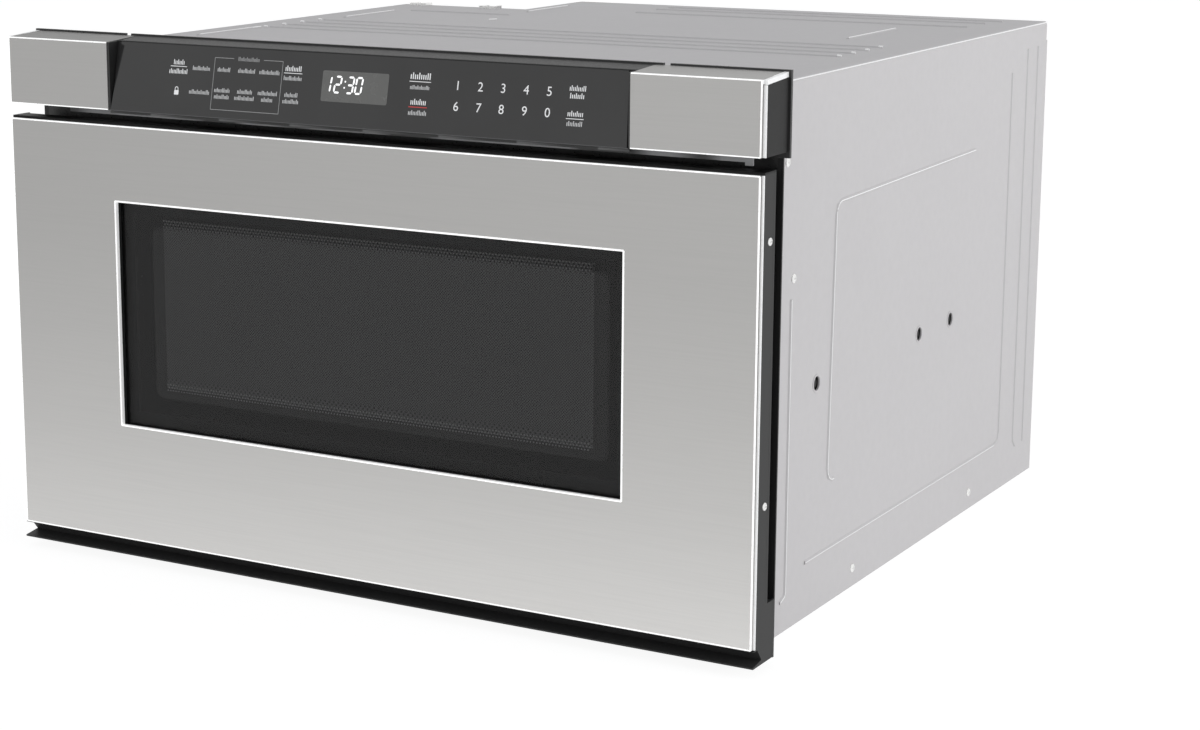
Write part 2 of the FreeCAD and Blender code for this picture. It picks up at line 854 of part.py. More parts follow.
def base_plate():
    """Floor of the casing, folded up all round, with the recess cut out, pressed ribs and air slots."""

    def outline(inset):
        side = recess_side + back_sheet + inset
        step = recess_front - back_sheet - inset
        half, front, back = inside_half - inset, module_depth + inset, rear_plate_in - inset
        return ((-half, front), (half, front), (half, back), (side, back), (side, step), (-half, step))

    hollow = prism_z(outline(base_sheet), base_sheet, base_flange + over)
    pan = prism_z(outline(0), 0, base_flange).cut(hollow)
    ribs = []
    cuts = []
    front, back = motor_shaft_depth + rib_front_gap, cavity_back - stand_setback - rib_rear_gap
    for x in (-rib_place, rib_place):
        for shrink, lift, target in ((0, base_sheet, ribs), (rib_wall, 0, cuts)):
            half = rib_width / 2 - shrink
            near, far = front + shrink, back - shrink
            low = (x - half, x + half, near, far, lift)
            high = (x - half + rib_slope, x + half - rib_slope, near + rib_slope, far - rib_slope,
                    lift + rib_height)
            target.append(frustum(low, high, "z"))
    slot_start = cavity_back + base_vent_start
    for index in range(base_vent_count):
        x = base_vent_place + base_vent_pitch * index
        cuts.append(block(x, x + base_vent_width, slot_start, slot_start + base_vent_length, -over,
                          base_sheet + over))
    for depth, z in low_screw_places:
        cuts += both_sides(screw_hole(inside_half, depth, z, base_sheet))
    save("base_plate", with_cuts(fused([pan] + ribs), cuts))


def louvre(x, z):
    """A pressed hood over a slot in the rear panel, as the hood and its slot."""
    rise = back_inset - louvre_gap
    skin = rear_plate_out - louvre_seat
    half = louvre_width / 2
    hood = prism_x(((skin, z), (rear_plate_out + rise, z), (skin, z + louvre_height)), x - half, x + half)
    inside = rear_plate_in - over
    slot = prism_x(((inside, z), (rear_plate_out + rise - back_sheet, z), (inside, z + louvre_slot)),
                   x - half + back_sheet, x + half - back_sheet)
    return hood, slot


def back_panel():
    """Rear panel and both recess walls, folded from one sheet, with louvres and the gland's hole."""
    corner_side = recess_side + back_sheet
    corner_front = recess_front - back_sheet
    outline = ((-inside_half, recess_front), (recess_side, recess_front), (recess_side, rear_plate_out),
               (inside_half, rear_plate_out), (inside_half, rear_plate_in), (corner_side, rear_plate_in),
               (corner_side, corner_front), (-inside_half, corner_front))
    sheet = prism_z(outline, base_sheet, inside_top)
    hoods = []
    cuts = [bar_x(gland_neck, 12, recess_side - over, corner_side + over, gland_depth, gland_height)]
    columns = [recess_side + louvre_first]
    columns += [fan_x + louvre_pitch_x * step for step in (-1, 0, 1)]
    for x in columns:
        for row in range(louvre_rows):
            hood, slot = louvre(x, body_height - louvre_drop + louvre_pitch * row)
            hoods.append(hood)
            cuts.append(slot)
    save("back_panel", with_cuts(fused([sheet] + hoods), cuts))


def front_plate():
    """Black plate that closes the casing's front and takes the cabinet screws."""
    step = flange_bottom - piece_gap
    outline = ((-plate_half, plate_bottom), (plate_half, plate_bottom), (plate_half, step),
               (plate_upper_half, step), (plate_upper_half, body_height), (-plate_upper_half, body_height),
               (-plate_upper_half, step), (-plate_half, step))
    plate = prism_y(outline, plate_front, module_depth)
    front, back = plate_front - over, module_depth + over
    rail_window = middle_half + slot_gap
    rack_half = rack_width / 2 + slot_gap
    latch_window = latch_half + slot_gap
    tools = [
        block(arm_inner - slot_gap, middle_back + slot_gap, front, back,
              rail_height_z - rail_window, rail_height_z + rail_window),
        block(rack_spread - rack_half, rack_spread + rack_half, front, back, rack_tip - slot_gap,
              rack_top + slot_gap),
        block(latch_place - latch_window, latch_place + latch_window, front, back,
              latch_height - latch_rise - slot_gap, latch_height + latch_rise + slot_gap),
    ]
    for z in cabinet_hole_heights:
        tools.append(rod_y(cabinet_hole_radius, front, back, plate_half - cabinet_hole_inset, z))
    tools += [mirrored(tool) for tool in tools]
    mouth = block(-cavity_half, cavity_half, front, back, cavity_floor, cavity_top)
    save("front_plate", with_cuts(plate, tools + [mouth]))


def side_screw(face, depth, z, grip):
    """A dome-headed screw whose head stands out of a side face."""
    wires = []
    for radius, x in ((screw_head_radius, face), (screw_crown_radius, face + screw_head_height)):
        points = [vec(x, d, up) for d, up in polygon(radius, 8, depth, z)]
        wires.append(Part.makePolygon(points + points[:1]))
    head = Part.makeLoft(wires, True, True)
    return head.fuse(bar_x(screw_radius, 6, face - grip, face, depth, z)).removeSplitter()


def screw_hole(face, depth, z, grip):
    """Clearance hole for a side screw."""
    return bar_x(screw_radius + piece_gap, 6, face - grip - over, face + over, depth, z)


def body_screws():
    """Casing screws on both sides, as one group; the low ones also hold the base plate."""
    screws = []
    for depth, z in body_screw_places:
        screws += both_sides(side_screw(half_body, depth, z, wrap_sheet + base_sheet))
    return screws


def recess_tabs():
    """Two folded hooks over the recess's top edge that hold the supply cord."""
    tabs = []
    top = body_height + tab_rise
    half, slot_half = tab_width / 2, tab_slot / 2
    back = recess_front + tab_sheet
    for place in tab_places:
        x = -half_body + place
        upright = block(x - half, x + half, recess_front, back, body_height - tab_drop, top)
        crest = block(x - half, x + half, recess_front - tab_reach, back, body_height, top)
        slot = block(x - slot_half, x + slot_half, recess_front - tab_reach + slot_half, back + over,
                     body_height - tab_drop + tab_slot, top + over)
        tabs.append(upright.fuse(crest).cut(slot).removeSplitter())
    return tabs


# ---------------------------------------------------------------- control panel
def lean_at(z):
    """Depth of the leaning panel face at a height."""
    return panel_lean * (z - panel_bottom) / panel_height


def control_housing():
    """Moulded panel body: leaning centre, two wing cores and the thin flange behind them."""
    wall = panel_wall
    face = glass_thickness
    centre = prism_x(((face, panel_bottom), (flange_front, panel_bottom), (flange_front, panel_top),
                      (panel_lean + face, panel_top)), -wing_inner, wing_inner)
    flange = block(-half_width, half_width, flange_front, module_depth, flange_bottom, overall_height)
    core_outer = wing_outer - skin_sheet
    core_low, core_high = panel_bottom + skin_sheet, panel_top - skin_sheet
    core = block(wing_inner, core_outer, skin_sheet, flange_front, core_low, core_high)
    cheek = block(wing_inner - cheek_wall, wing_inner, skin_sheet, flange_front, panel_bottom, panel_top)
    body = fused([centre, flange] + both_sides(core) + both_sides(cheek))
    front, back = face + wall, module_depth + over
    hollow_outline = ((front, panel_bottom + wall), (back, panel_bottom + wall), (back, panel_top - wall),
                      (panel_lean + front, panel_top - wall))
    hollow_centre = prism_x(hollow_outline, -wing_inner + 2 * wall, wing_inner - 2 * wall)
    hollow_wing = block(wing_inner + wall, core_outer - wall, skin_sheet + wall, flange_front - wall,
                        core_low + wall, core_high - wall)
    seat_half = plate_upper_half + piece_gap
    plate_seat = block(-seat_half, seat_half, plate_front - piece_gap, module_depth + over,
                       flange_bottom - over, body_height + piece_gap)
    display_port = block(display_centre - display_width / 2, display_centre + display_width / 2, -over,
                         panel_lean + face + 2 * wall, display_low, display_high)
    slit_start = wing_inner + lip_gap_offset
    slit = block(slit_start, slit_start + lip_gap, flange_front, module_depth + over, panel_top,
                 overall_height + over)
    cuts = [hollow_centre, plate_seat, display_port] + both_sides(hollow_wing) + both_sides(slit)
    save("control_housing", with_cuts(body, cuts))


def touch_glass():
    """Leaning glass pane, a little narrower at the top."""
    wires = []
    for lift in (0, glass_thickness):
        corners = ((-glass_low_half, panel_bottom), (glass_low_half, panel_bottom),
                   (glass_high_half, panel_top), (-glass_high_half, panel_top))
        points = [vec(x, lean_at(z) + lift, z) for x, z in corners]
        wires.append(Part.makePolygon(points + points[:1]))
    save("touch_glass", Part.makeLoft(wires, True, True))


def wing_trim():
    """Brushed sheet over the right wing's front and top with a hem down its outer edge."""
    shell = block(wing_inner, wing_outer, 0, flange_front, panel_bottom, panel_top)
    front_edges = [e for e in shell.Edges
                   if e.BoundBox.XLength > over and e.BoundBox.ZMin > panel_top - skin_sheet
                   and e.BoundBox.YMax < skin_sheet - overall_depth / 2]
    shell = shell.makeFillet(wing_bend, front_edges)
    inside = block(wing_inner - over, wing_outer - skin_sheet, skin_sheet, flange_front + over,
                   panel_bottom + skin_sheet, panel_top - skin_sheet)
    side_open = block(wing_outer - skin_sheet, wing_outer + over, hem, flange_front + over,
                      panel_bottom - over, panel_top - hem)
    under_open = block(wing_inner - over, wing_outer + over, hem, flange_front + over,
                       panel_bottom - over, panel_bottom + skin_sheet)
    return with_cuts(shell, [inside, side_open, under_open])


def display_module():
    """Sealed display behind the port in the housing, square to the leaning face."""
    low, high = display_low + display_gap, display_high - display_gap
    outline = ((lean_at(low) + glass_thickness, low), (lean_at(high) + glass_thickness, high),
               (board_front, high), (board_front, low))
    half = display_width / 2 - display_gap
    save("display_module", prism_x(outline, display_centre - half, display_centre + half))


def control_board():
    """Circuit board behind the display with its relays, capacitor and ribbon socket."""
    half = wing_inner - board_inset
    back = board_front + board_thickness
    tallest = plate_front - board_back_gap
    margin = panel_wall + board_edge_gap
    parts = [block(-half, half, board_front, back, panel_bottom + margin, panel_top - margin)]
    relay_low = panel_bottom + relay_rise
    near = half - relay_inset
    for x in (-near, relay_pitch - near, near - relay_pitch, near):
        parts.append(block(x - relay_width / 2, x + relay_width / 2, back, tallest, relay_low,
                           relay_low + relay_height))
    parts.append(bar_y(board_can_radius, 10, back, tallest, board_can_place, panel_bottom + board_can_rise))
    socket_low = panel_bottom + socket_rise
    parts.append(block(0, socket_width, back, back + socket_depth, socket_low, socket_low + socket_height))
    save("control_board", fused(parts))


# ---------------------------------------------------------------- drawer front
def around_window(grow, d0, d1):
    """Block over the window opening, grown by a margin on all four sides."""
    return block(-window_half - grow, window_half + grow, d0, d1, window_bottom - grow, window_top + grow)


def drawer_skin():
    """Stainless skin with edges folded back all round and the window cut out of its face."""
    shell = block(-skin_half, skin_half, 0, skin_return, skin_bottom, skin_top)
    outer_edges = [e for e in shell.Edges if e.BoundBox.YMax < skin_sheet - overall_depth / 2]
    shell = shell.makeFillet(skin_bend, outer_edges)
    s = skin_sheet
    inside = block(-skin_half + s, skin_half - s, s, skin_return + over, skin_bottom + s, skin_top - s)
    save("drawer_skin", with_cuts(shell, [inside, around_window(0, -over, skin_return + over)]))


def window_glass():
    save("window_glass", around_window(window_glass_lap, window_recess, web_front))


def window_bezel():
    """Moulded lip between the skin and the window glass, which it holds against the frame's web."""
    glass_room = window_glass_lap + piece_gap
    lip = around_window(glass_room + bezel_wall, skin_sheet + piece_gap, web_front + piece_gap)
    return with_cuts(lip, [around_window(0, 0, web_front + over),
                           around_window(glass_room, window_recess, web_front + over)])


def frame_ribs():
    """Upright and level ribs between the frame's web and the door panel."""
    half = frame_rib / 2
    near, far = web_front + frame_web / 2, door_panel_depth
    ribs = []
    for place in frame_rib_places:
        x = window_half + place
        ribs += both_sides(block(x - half, x + half, near, far, skin_bottom + frame_rib_rise,
                                 skin_top - frame_rib_drop))
    reach = window_half - level_rib_inset
    for z in (window_bottom - level_rib_low, window_top + level_rib_high):
        ribs.append(block(-reach, reach, near, far, z - half, z + half))
    return ribs


def drawer_frame():
    """Moulded frame: side walls, window web and bezel, ribs to the door panel, V-grooved lower trim."""
    shell = block(-frame_half, frame_half, skin_show, frame_depth, skin_bottom, skin_top + frame_wall)
    room = skin_half + piece_gap
    pocket = block(-room, room, 0, web_front, skin_bottom, skin_top + piece_gap)
    inner = frame_half - frame_wall
    behind = block(-inner, inner, web_front + frame_web, frame_depth + over, foot_top, skin_top)
    lip = skin_bottom - groove_lip
    foot_outline = ((skin_show, skin_bottom), (groove_lip, lip), (groove_depth / 2, lip),
                    (groove_depth, frame_bottom + groove_apex), (0, frame_bottom + groove_nose),
                    (groove_toe, frame_bottom), (foot_depth, frame_bottom), (foot_depth, foot_top),
                    (frame_depth, foot_top), (frame_depth, skin_bottom))
    foot = prism_x(foot_outline, -frame_half, frame_half)
    foot_back = block(-frame_half, frame_half, web_front, foot_depth, skin_bottom, foot_top)
    inner = frame_half - foot_wall
    foot_hollow = block(-inner, inner, web_front + frame_web, foot_depth + over,
                        frame_bottom + foot_floor, foot_top - foot_roof)
    body = fused([with_cuts(shell, [pocket, behind]), foot, foot_back, window_bezel()] + frame_ribs())
    cuts = [around_window(-window_frame_lap, 0, frame_depth + over), foot_hollow]
    for z in frame_screw_heights:
        cuts += both_sides(screw_hole(frame_half, frame_depth - frame_screw_setback, z, frame_wall))
    save("drawer_frame", with_cuts(body, cuts))


def frame_screws():
    """Four dome screws in the drawer frame's side walls, as one group."""
    screws = []
    for z in frame_screw_heights:
        screws += both_sides(side_screw(frame_half, frame_depth - frame_screw_setback, z, frame_wall))
    return screws


def choke_box(grow):
    """Half-width, bottom and top of the choke's outer wall."""
    return (cavity_half + choke_side + grow, cavity_floor - choke_rise - grow, cavity_top + choke_rise + grow)


def door_panel():
    """Steel panel of the drawer front with its choke wall round the cavity opening."""
    plate = block(-door_panel_half, door_panel_half, door_panel_depth, door_plate_back,
                  foot_top + door_panel_foot_gap, door_panel_top)
    half, low, high = choke_box(0)
    ring = block(-half, half, door_panel_depth, door_back - choke_wall, low, high)
    half, low, high = choke_box(-door_sheet)
    hollow = block(-half, half, door_plate_back, door_back, low, high)
    save("door_panel", plate.fuse(ring.cut(hollow)).removeSplitter())


def choke_cover():
    """Plastic ring that closes the choke and faces the front plate."""
    half, low, high = choke_box(-door_sheet - piece_gap)
    w = choke_wall
    ring = block(-half, half, door_plate_back, door_back, low, high)
    mouth_half, mouth_low, mouth_high = tub_half + choke_gap, tub_bottom - choke_gap, cavity_top + choke_gap
    opening = block(-mouth_half, mouth_half, 0, door_back + over, mouth_low, mouth_high)
    slot = block(-half + w, half - w, 0, door_back - w, low + w, high - w)
    core = block(-mouth_half - w, mouth_half + w, 0, door_back + over, mouth_low - w, mouth_high + w)
    save("choke_cover", ring.cut(opening).cut(slot.cut(core)))


def inner_glass():
    half = tub_half - tub_rim - inner_pane_gap
    save("inner_glass", block(-half, half, door_plate_back, door_plate_back + inner_pane_thickness,
                              tub_bottom + inner_pane_rise, cavity_top - inner_pane_drop))


# ---------------------------------------------------------------- drawer box
def drawer_tub():
    """Open-topped drawer box with hemmed rims, sloping sides and a rim that seats on the door panel."""
    s = tub_sheet
    front, bend = door_plate_back, door_plate_back + tub_level
    outline = ((front, tub_bottom), (tub_back, tub_bottom), (tub_back, tub_top_rear), (bend, tub_top_front),
               (front, tub_top_front))
    outer = prism_x(outline, -tub_half, tub_half)
    inner = block(-tub_half + s, tub_half - s, front - over, tub_back - s, tub_bottom + s,
                  tub_top_front + over)
    rim = block(-tub_half, tub_half, front, front + s, tub_bottom, tub_top_front)
    rim_half = tub_half - tub_rim
    rim_open = block(-rim_half, rim_half, front - over, front + s + over, tub_bottom + tub_rim,
                     tub_top_front + over)
    lip = prism_x(((tub_back, tub_top_rear), (tub_back, tub_top_rear - s), (bend, tub_top_front - s),
                   (front, tub_top_front - s), (front, tub_top_front), (bend, tub_top_front)),
                  -tub_half, tub_half)
    lip_half = tub_half - tub_hem
    lip_open = block(-lip_half, lip_half, front - over, tub_back - tub_hem, tub_bottom, tub_top_front + over)
    save("drawer_tub", fused([outer.cut(inner), rim.cut(rim_open), lip.cut(lip_open)]))


def ceramic_tray():
    """Flat tray with rounded corners and a shallow raised rim on the drawer box's floor."""
    half = tub_half - tub_sheet - tray_gap
    base = tub_bottom + tub_sheet
    top = base + tray_thickness
    front, back = door_plate_back + tub_sheet + tray_gap, tub_back - tub_sheet - tray_gap
    tray = block(-half, half, front, back, base, top)
    tray = tray.makeFillet(tray_corner, [e for e in tray.Edges if e.BoundBox.ZLength > over])
    dish = block(-half + tray_rim, half - tray_rim, front + tray_rim, back - tray_rim, top - tray_dish,
                 top + over)
    save("ceramic_tray", tray.cut(dish))


def latch_hooks():
    """Hooks on the door panel that press the interlock switches through the front plate."""
    base, z = door_plate_back, latch_height
    tip = base + latch_reach
    foot = block(latch_place - latch_foot, latch_place + latch_foot, base, base + latch_foot_sheet,
                 z - latch_rise, z + latch_rise)
    low, web, tooth = z - latch_low, z + latch_web, z + latch_tooth
    outline = ((base, low), (tip, low), (tip - latch_ramp, tooth), (tip - latch_crest, tooth),
               (tip - latch_crest - latch_heel, web), (base, web))
    hook = prism_x(outline, latch_place - latch_half, latch_place + latch_half).fuse(foot).removeSplitter()
    return both_sides(hook)


# ---------------------------------------------------------------- slides
def channel(web_x, lip_x, half_height, d0, d1):
    """A rail member: web towards the casing, flanges towards the cavity."""
    low, high = rail_height_z - half_height, rail_height_z + half_height
    outside = block(lip_x, web_x, d0, d1, low, high)
    inside = block(lip_x - over, web_x - rail_sheet, d0 - over, d1 + over, low + rail_sheet,
                   high - rail_sheet)
    return outside.cut(inside)


def rail_outer():
    """Outer member with inturned lips and its three fixing holes."""
    member = channel(rail_back, rail_mouth, rail_half, rail_start, rail_end)
    lips = []
    for sign in (-1, 1):
        edge = rail_height_z + sign * rail_half
        tip = edge - sign * rail_lip
        lips.append(block(rail_mouth, rail_mouth + rail_sheet, rail_start, rail_end, min(edge, tip),
                          max(edge, tip)))
    holes = [screw_hole(rail_back, depth, rail_height_z, rail_sheet) for depth in access_depths]
    return with_cuts(fused([member] + lips), holes)


def rail_middle():
    """Middle member: carries a race on each side of its flanges."""
    return channel(middle_back, middle_back - middle_depth, middle_half, rail_start, rail_end)


def rail_inner():
    """Inner member, which the drawer hangs on; its web faces the cavity."""
    low, high = rail_height_z - inner_half, rail_height_z + inner_half
    front = door_plate_back
    outside = block(rail_mouth, rail_mouth + inner_depth, front, rail_end - rail_sheet, low, high)
    inside = block(rail_mouth + rail_sheet, rail_mouth + inner_depth + over, front - over, rail_end,
                   low + rail_sheet, high - rail_sheet)
    return outside.cut(inside)


def ball(radius, x, depth, z):
    """A bearing ball with six sides round and two bands."""
    wires = []
    for latitude in (-60, 0, 60):
        around = radius * math.cos(math.radians(latitude))
        level = z + radius * math.sin(math.radians(latitude))
        points = [vec(across, d, level) for across, d in polygon(around, 6, x, depth)]
        wires.append(Part.makePolygon(points + points[:1]))
    return Part.makeLoft(wires, True, True)


def ball_cage(gap, race_z, x, d0, d1):
    """A strip cage with a ball in a pocket near each end, in the race between two members."""
    radius = gap / 2 - ball_clearance
    half = cage_sheet / 2
    balls = []
    pockets = []
    for depth in (d0 + cage_end, d1 - cage_end):
        balls.append(ball(radius, x, depth, race_z))
        pockets.append(block(x - radius + cage_lip, x + radius + over, depth - radius - piece_gap,
                             depth + radius + piece_gap, race_z - over, race_z + over))
    strip = block(x - radius - cage_edge, x + radius, d0, d1, race_z - half, race_z + half)
    return [with_cuts(strip, pockets)] + balls


def rail_cages():
    """Cages that ride with the middle member: outer pair at its rear half, inner pair at its front half."""
    cages = []
    half_way = rail_start + rail_length / 2
    for sign in (-1, 1):
        race = rail_height_z + sign * (middle_half + outer_ball / 2)
        cages += ball_cage(outer_ball, race, middle_back - middle_depth / 2, half_way + cage_middle_gap,
                           rail_end - cage_end_gap)
        race = rail_height_z + sign * (inner_half + inner_ball / 2)
        cages += ball_cage(inner_ball, race, rail_mouth + inner_depth - inner_race_inset,
                           rail_start + cage_end_gap, half_way - cage_middle_gap)
    return cages


def rail_arm():
    """Angle that ties the door panel to the inner member."""
    front = door_plate_back
    low, high = rail_height_z - arm_half, rail_height_z + arm_half
    bend, shoulder = front + arm_flare_bend, front + arm_flare_length
    blade = prism_x(((front, low - arm_flare), (bend, low - arm_flare / 2), (shoulder, low),
                     (front + arm_length, low), (front + arm_length, high), (shoulder, high),
                     (bend, high + arm_flare / 2), (front, high + arm_flare)), arm_inner, rail_mouth)
    out = rail_mouth + arm_foot
    clear = inner_half + arm_foot_gap
    feet = [block(arm_inner, out, front, front + arm_sheet, low - arm_flare, rail_height_z - clear),
            block(arm_inner, out, front, front + arm_sheet, rail_height_z + clear, high + arm_flare)]
    return fused([blade] + feet)


def rail_bracket():
    """Upright bracket between base plate and rail, with a folded foot and lightening holes."""
    front, back = rail_start + bracket_front, rail_end - bracket_rear
    top = rail_height_z + rail_half + bracket_sheet
    upright = block(rail_back, bracket_out, front, back, base_sheet, top)
    foot = block(bracket_out - bracket_foot, bracket_out, front, back, base_sheet, base_sheet + bracket_sheet)
    pitch = (back - front - 2 * bracket_window_margin + bracket_window_gap) / bracket_window_count
    cuts = []
    for index in range(bracket_window_count):
        start = front + bracket_window_margin + pitch * index
        cuts.append(block(rail_back - over, bracket_out + over, start, start + pitch - bracket_window_gap,
                          bracket_window_low, rail_height_z - rail_half - bracket_window_drop))
    cuts += [screw_hole(bracket_out, depth, rail_height_z, bracket_sheet) for depth in access_depths]
    return with_cuts(upright.fuse(foot).removeSplitter(), cuts)


def rail_screws():
    screws = []
    for depth in access_depths:
        screws += both_sides(side_screw(bracket_out, depth, rail_height_z, bracket_sheet + rail_sheet))
    return screws


# ---------------------------------------------------------------- drive
def tooth_half_angle(radius, module, teeth):
    """Half the angle that an involute tooth takes up at a radius."""
    pitch_radius = module * teeth / 2
    base_radius = pitch_radius * math.cos(pressure_angle)
    involute_pitch = math.tan(pressure_angle) - pressure_angle
    angle = math.acos(min(1.0, base_radius / radius))
    at_pitch = math.pi / (2 * teeth) - backlash / (4 * pitch_radius)
    return at_pitch + involute_pitch - (math.tan(angle) - angle)


def gear_outline(module, teeth, start_angle, depth, z):
    """Points of a spur gear seen along X, each flank a chord of its involute.

    The first tooth points at start_angle, counted from +Y towards +Z.
    """
    pitch_radius = module * teeth / 2
    base_radius = pitch_radius * math.cos(pressure_angle)
    root = pitch_radius - dedendum * module
    tip = pitch_radius + module
    at_root = tooth_half_angle(max(base_radius, root), module, teeth)
    at_tip = tooth_half_angle(tip, module, teeth)
    points = []
    for tooth in range(teeth):
        centre = start_angle + 2 * math.pi * tooth / teeth
        for r, a in ((root, -at_root), (tip, -at_tip), (tip, at_tip), (root, at_root)):
            points.append((depth + r * math.cos(centre + a), z + r * math.sin(centre + a)))
    return points


def gear_blank(module, teeth, start_angle, x0, x1, depth, z):
    return prism_x(gear_outline(module, teeth, start_angle, depth, z), x0, x1)


def shaft_bore(x0, x1):
    """Hexagonal bore that the cross shaft fills."""
    return bar_x(shaft_radius, 6, x0, x1, shaft_depth, shaft_height)


def cross_shaft():
    """Hexagonal bar with a round journal in each bearing."""
    reach = rack_spread + pinion_width / 2 + shaft_overhang
    shaft = shaft_bore(-reach, reach)
    journal = bar_x(shaft_radius, 18, bearing_place - bearing_width, bearing_place + bearing_width,
                    shaft_depth, shaft_height)
    save("cross_shaft", fused([shaft] + both_sides(journal)))


def pinion():
    """Pinion with a hub towards the bearing, its first tooth upright."""
    x0, x1 = rack_spread - pinion_width / 2, rack_spread + pinion_width / 2
    gear = gear_blank(rack_module, pinion_teeth, math.pi / 2, x0, x1, shaft_depth, shaft_height)
    hub = bar_x(shaft_radius + hub_wall, 12, bearing_place + bearing_width, x0, shaft_depth, shaft_height)
    return gear.fuse(hub).cut(shaft_bore(bearing_place, x1 + over)).removeSplitter()


def drive_gear():
    """Gear wheel on the cross shaft, with a hub."""
    x0, x1 = wheel_place - gear_width / 2, wheel_place + gear_width / 2
    wheel = gear_blank(gear_module, wheel_teeth, 0, x0, x1, shaft_depth, shaft_height)
    hub = bar_x(shaft_radius + hub_wall, 12, x0 - wheel_hub, x0, shaft_depth, shaft_height)
    save("drive_gear", wheel.fuse(hub).cut(shaft_bore(x0 - wheel_hub - over, x1 + over)).removeSplitter())


def motor_gear():
    """Output gear of the gearbox with its shaft; a gap faces the gear wheel."""
    x0, x1 = wheel_place - gear_width / 2, wheel_place + gear_width / 2
    start = math.pi + math.pi / motor_gear_teeth
    gear = gear_blank(gear_module, motor_gear_teeth, start, x0, x1, motor_shaft_depth, shaft_height)
    stub = bar_x(output_radius, 12, x1, x1 + output_length, motor_shaft_depth, shaft_height)
    save("motor_gear", gear.fuse(stub).removeSplitter())


def shaft_bearing():
    """Moulded bearing block that stands on the base plate."""
    crown = [(shaft_depth + bearing_radius * math.cos(math.pi * k / 6),
              shaft_height + bearing_radius * math.sin(math.pi * k / 6)) for k in range(7)]
    front, back = shaft_depth - bearing_foot, shaft_depth + bearing_foot
    toe, shoulder = base_sheet + bearing_foot_height, base_sheet + bearing_shoulder
    outline = [(front, base_sheet), (back, base_sheet), (back, toe), (shaft_depth + bearing_radius, shoulder)]
    outline += crown + [(shaft_depth - bearing_radius, shoulder), (front, toe)]
    x0, x1 = bearing_place - bearing_width / 2, bearing_place + bearing_width / 2
    facets = 18
    bore_radius = (shaft_radius + shaft_clearance) / math.cos(math.pi / facets)
    bore = bar_x(bore_radius, facets, x0 - over, x1 + over, shaft_depth, shaft_height)
    return prism_x(outline, x0, x1).cut(bore)


def rack():
    """Toothed rack under the drawer with a folded foot on the door panel; a gap stands over the pinion."""
    pitch = math.pi * rack_module
    slope = math.tan(pressure_angle)
    half = pitch / 4 - backlash / 4
    start = door_plate_back
    first = math.ceil((start + rack_run_in - shaft_depth) / pitch)
    last = math.floor((rack_end - rack_nose - shaft_depth) / pitch)
    root = pitch_line + dedendum * rack_module
    wide = half + dedendum * rack_module * slope
    narrow = half - rack_module * slope
    points = [(start, rack_top), (start, root)]
    for index in range(first, last):
        centre = shaft_depth + (index + 0.5) * pitch
        points += [(centre - wide, root), (centre - narrow, rack_tip), (centre + narrow, rack_tip),
                   (centre + wide, root)]
    points += [(rack_end, root), (rack_end, rack_top)]
    bar = prism_x(points, rack_spread - rack_width / 2, rack_spread + rack_width / 2)
    foot = block(rack_spread - rack_foot, rack_spread + rack_foot, start, start + rack_foot_sheet,
                 foot_top + rack_foot_gap, rack_top)
    return bar.fuse(foot).removeSplitter()


def gearbox():
    """Worm gearbox case with chamfered edges, a foot and the bore for the output shaft."""
    d = motor_shaft_depth
    case = block(gearbox_x0, gearbox_x1, d - gearbox_front, d + gearbox_rear, gearbox_bottom,
                 gearbox_bottom + gearbox_height)
    case = case.makeChamfer(gearbox_chamfer, [e for e in case.Edges if e.BoundBox.XLength > over])
    foot = block(gearbox_x0 + gearbox_foot_inset, gearbox_x1 - gearbox_foot_inset,
                 d - gearbox_front - gearbox_foot, d + gearbox_rear + gearbox_foot, base_sheet,
                 gearbox_bottom + piece_gap)
    boss = bar_x(boss_radius, 14, gearbox_x0 - boss_length, gearbox_x0 + over, d, shaft_height)
    bore = bar_x(output_radius + output_clearance, 12, gearbox_x0 - boss_length - over,
                 gearbox_x0 + output_depth, d, shaft_height)
    save("gearbox", fused([case, boss, foot]).cut(bore))


def drive_motor():
    """Round motor with a rear boss and two terminals, flanged to the gearbox."""
    d, z = motor_shaft_depth + motor_setback, shaft_height + motor_rise
    end = gearbox_x1 + motor_length
    parts = [bar_x(motor_radius, 20, gearbox_x1, end, d, z),
             bar_x(motor_boss_radius, 12, end, end + motor_boss_length, d, z)]
    for sign in (-1, 1):
        middle = d + sign * motor_tab_place
        parts.append(block(end, end + motor_tab, middle - motor_tab_sheet / 2, middle + motor_tab_sheet / 2,
                           z - motor_tab_width / 2, z + motor_tab_width / 2))
    save("drive_motor", fused(parts))


# ---------------------------------------------------------------- cavity and microwave parts
def liner_dome():
    """The ceiling's pressed dome for the stirrer, as its outside and its hollow."""
    s = liner_sheet
    x, front, back = dome_width / 2, dome_centre - dome_depth / 2, dome_centre + dome_depth / 2
    inset = dome_slant + s
    top = liner_top + dome_height
    outside = frustum((-x, x, front, back, cavity_top),
                      (-x + dome_slant, x - dome_slant, front + dome_slant, back - dome_slant, top), "z")
    hollow = frustum((-x + s, x - s, front + s, back - s, cavity_top - piece_gap),
                     (-x + inset, x - inset, front + inset, back - inset, top - s), "z")
    return outside, hollow


def liner_rib(z):
    """A level rib pressed outward in the right wall."""
    wide, narrow = liner_rib_width / 2, liner_rib_crest / 2
    near, far = module_depth + liner_rib_front, cavity_back - liner_rib_rear
    slope = wide - narrow
    low = (near, far, z - wide, z + wide, cavity_half + liner_sheet)
    high = (near + slope, far - slope, z - narrow, z + narrow, cavity_half + liner_sheet + liner_rib_rise)
    return frustum(low, high, "x")


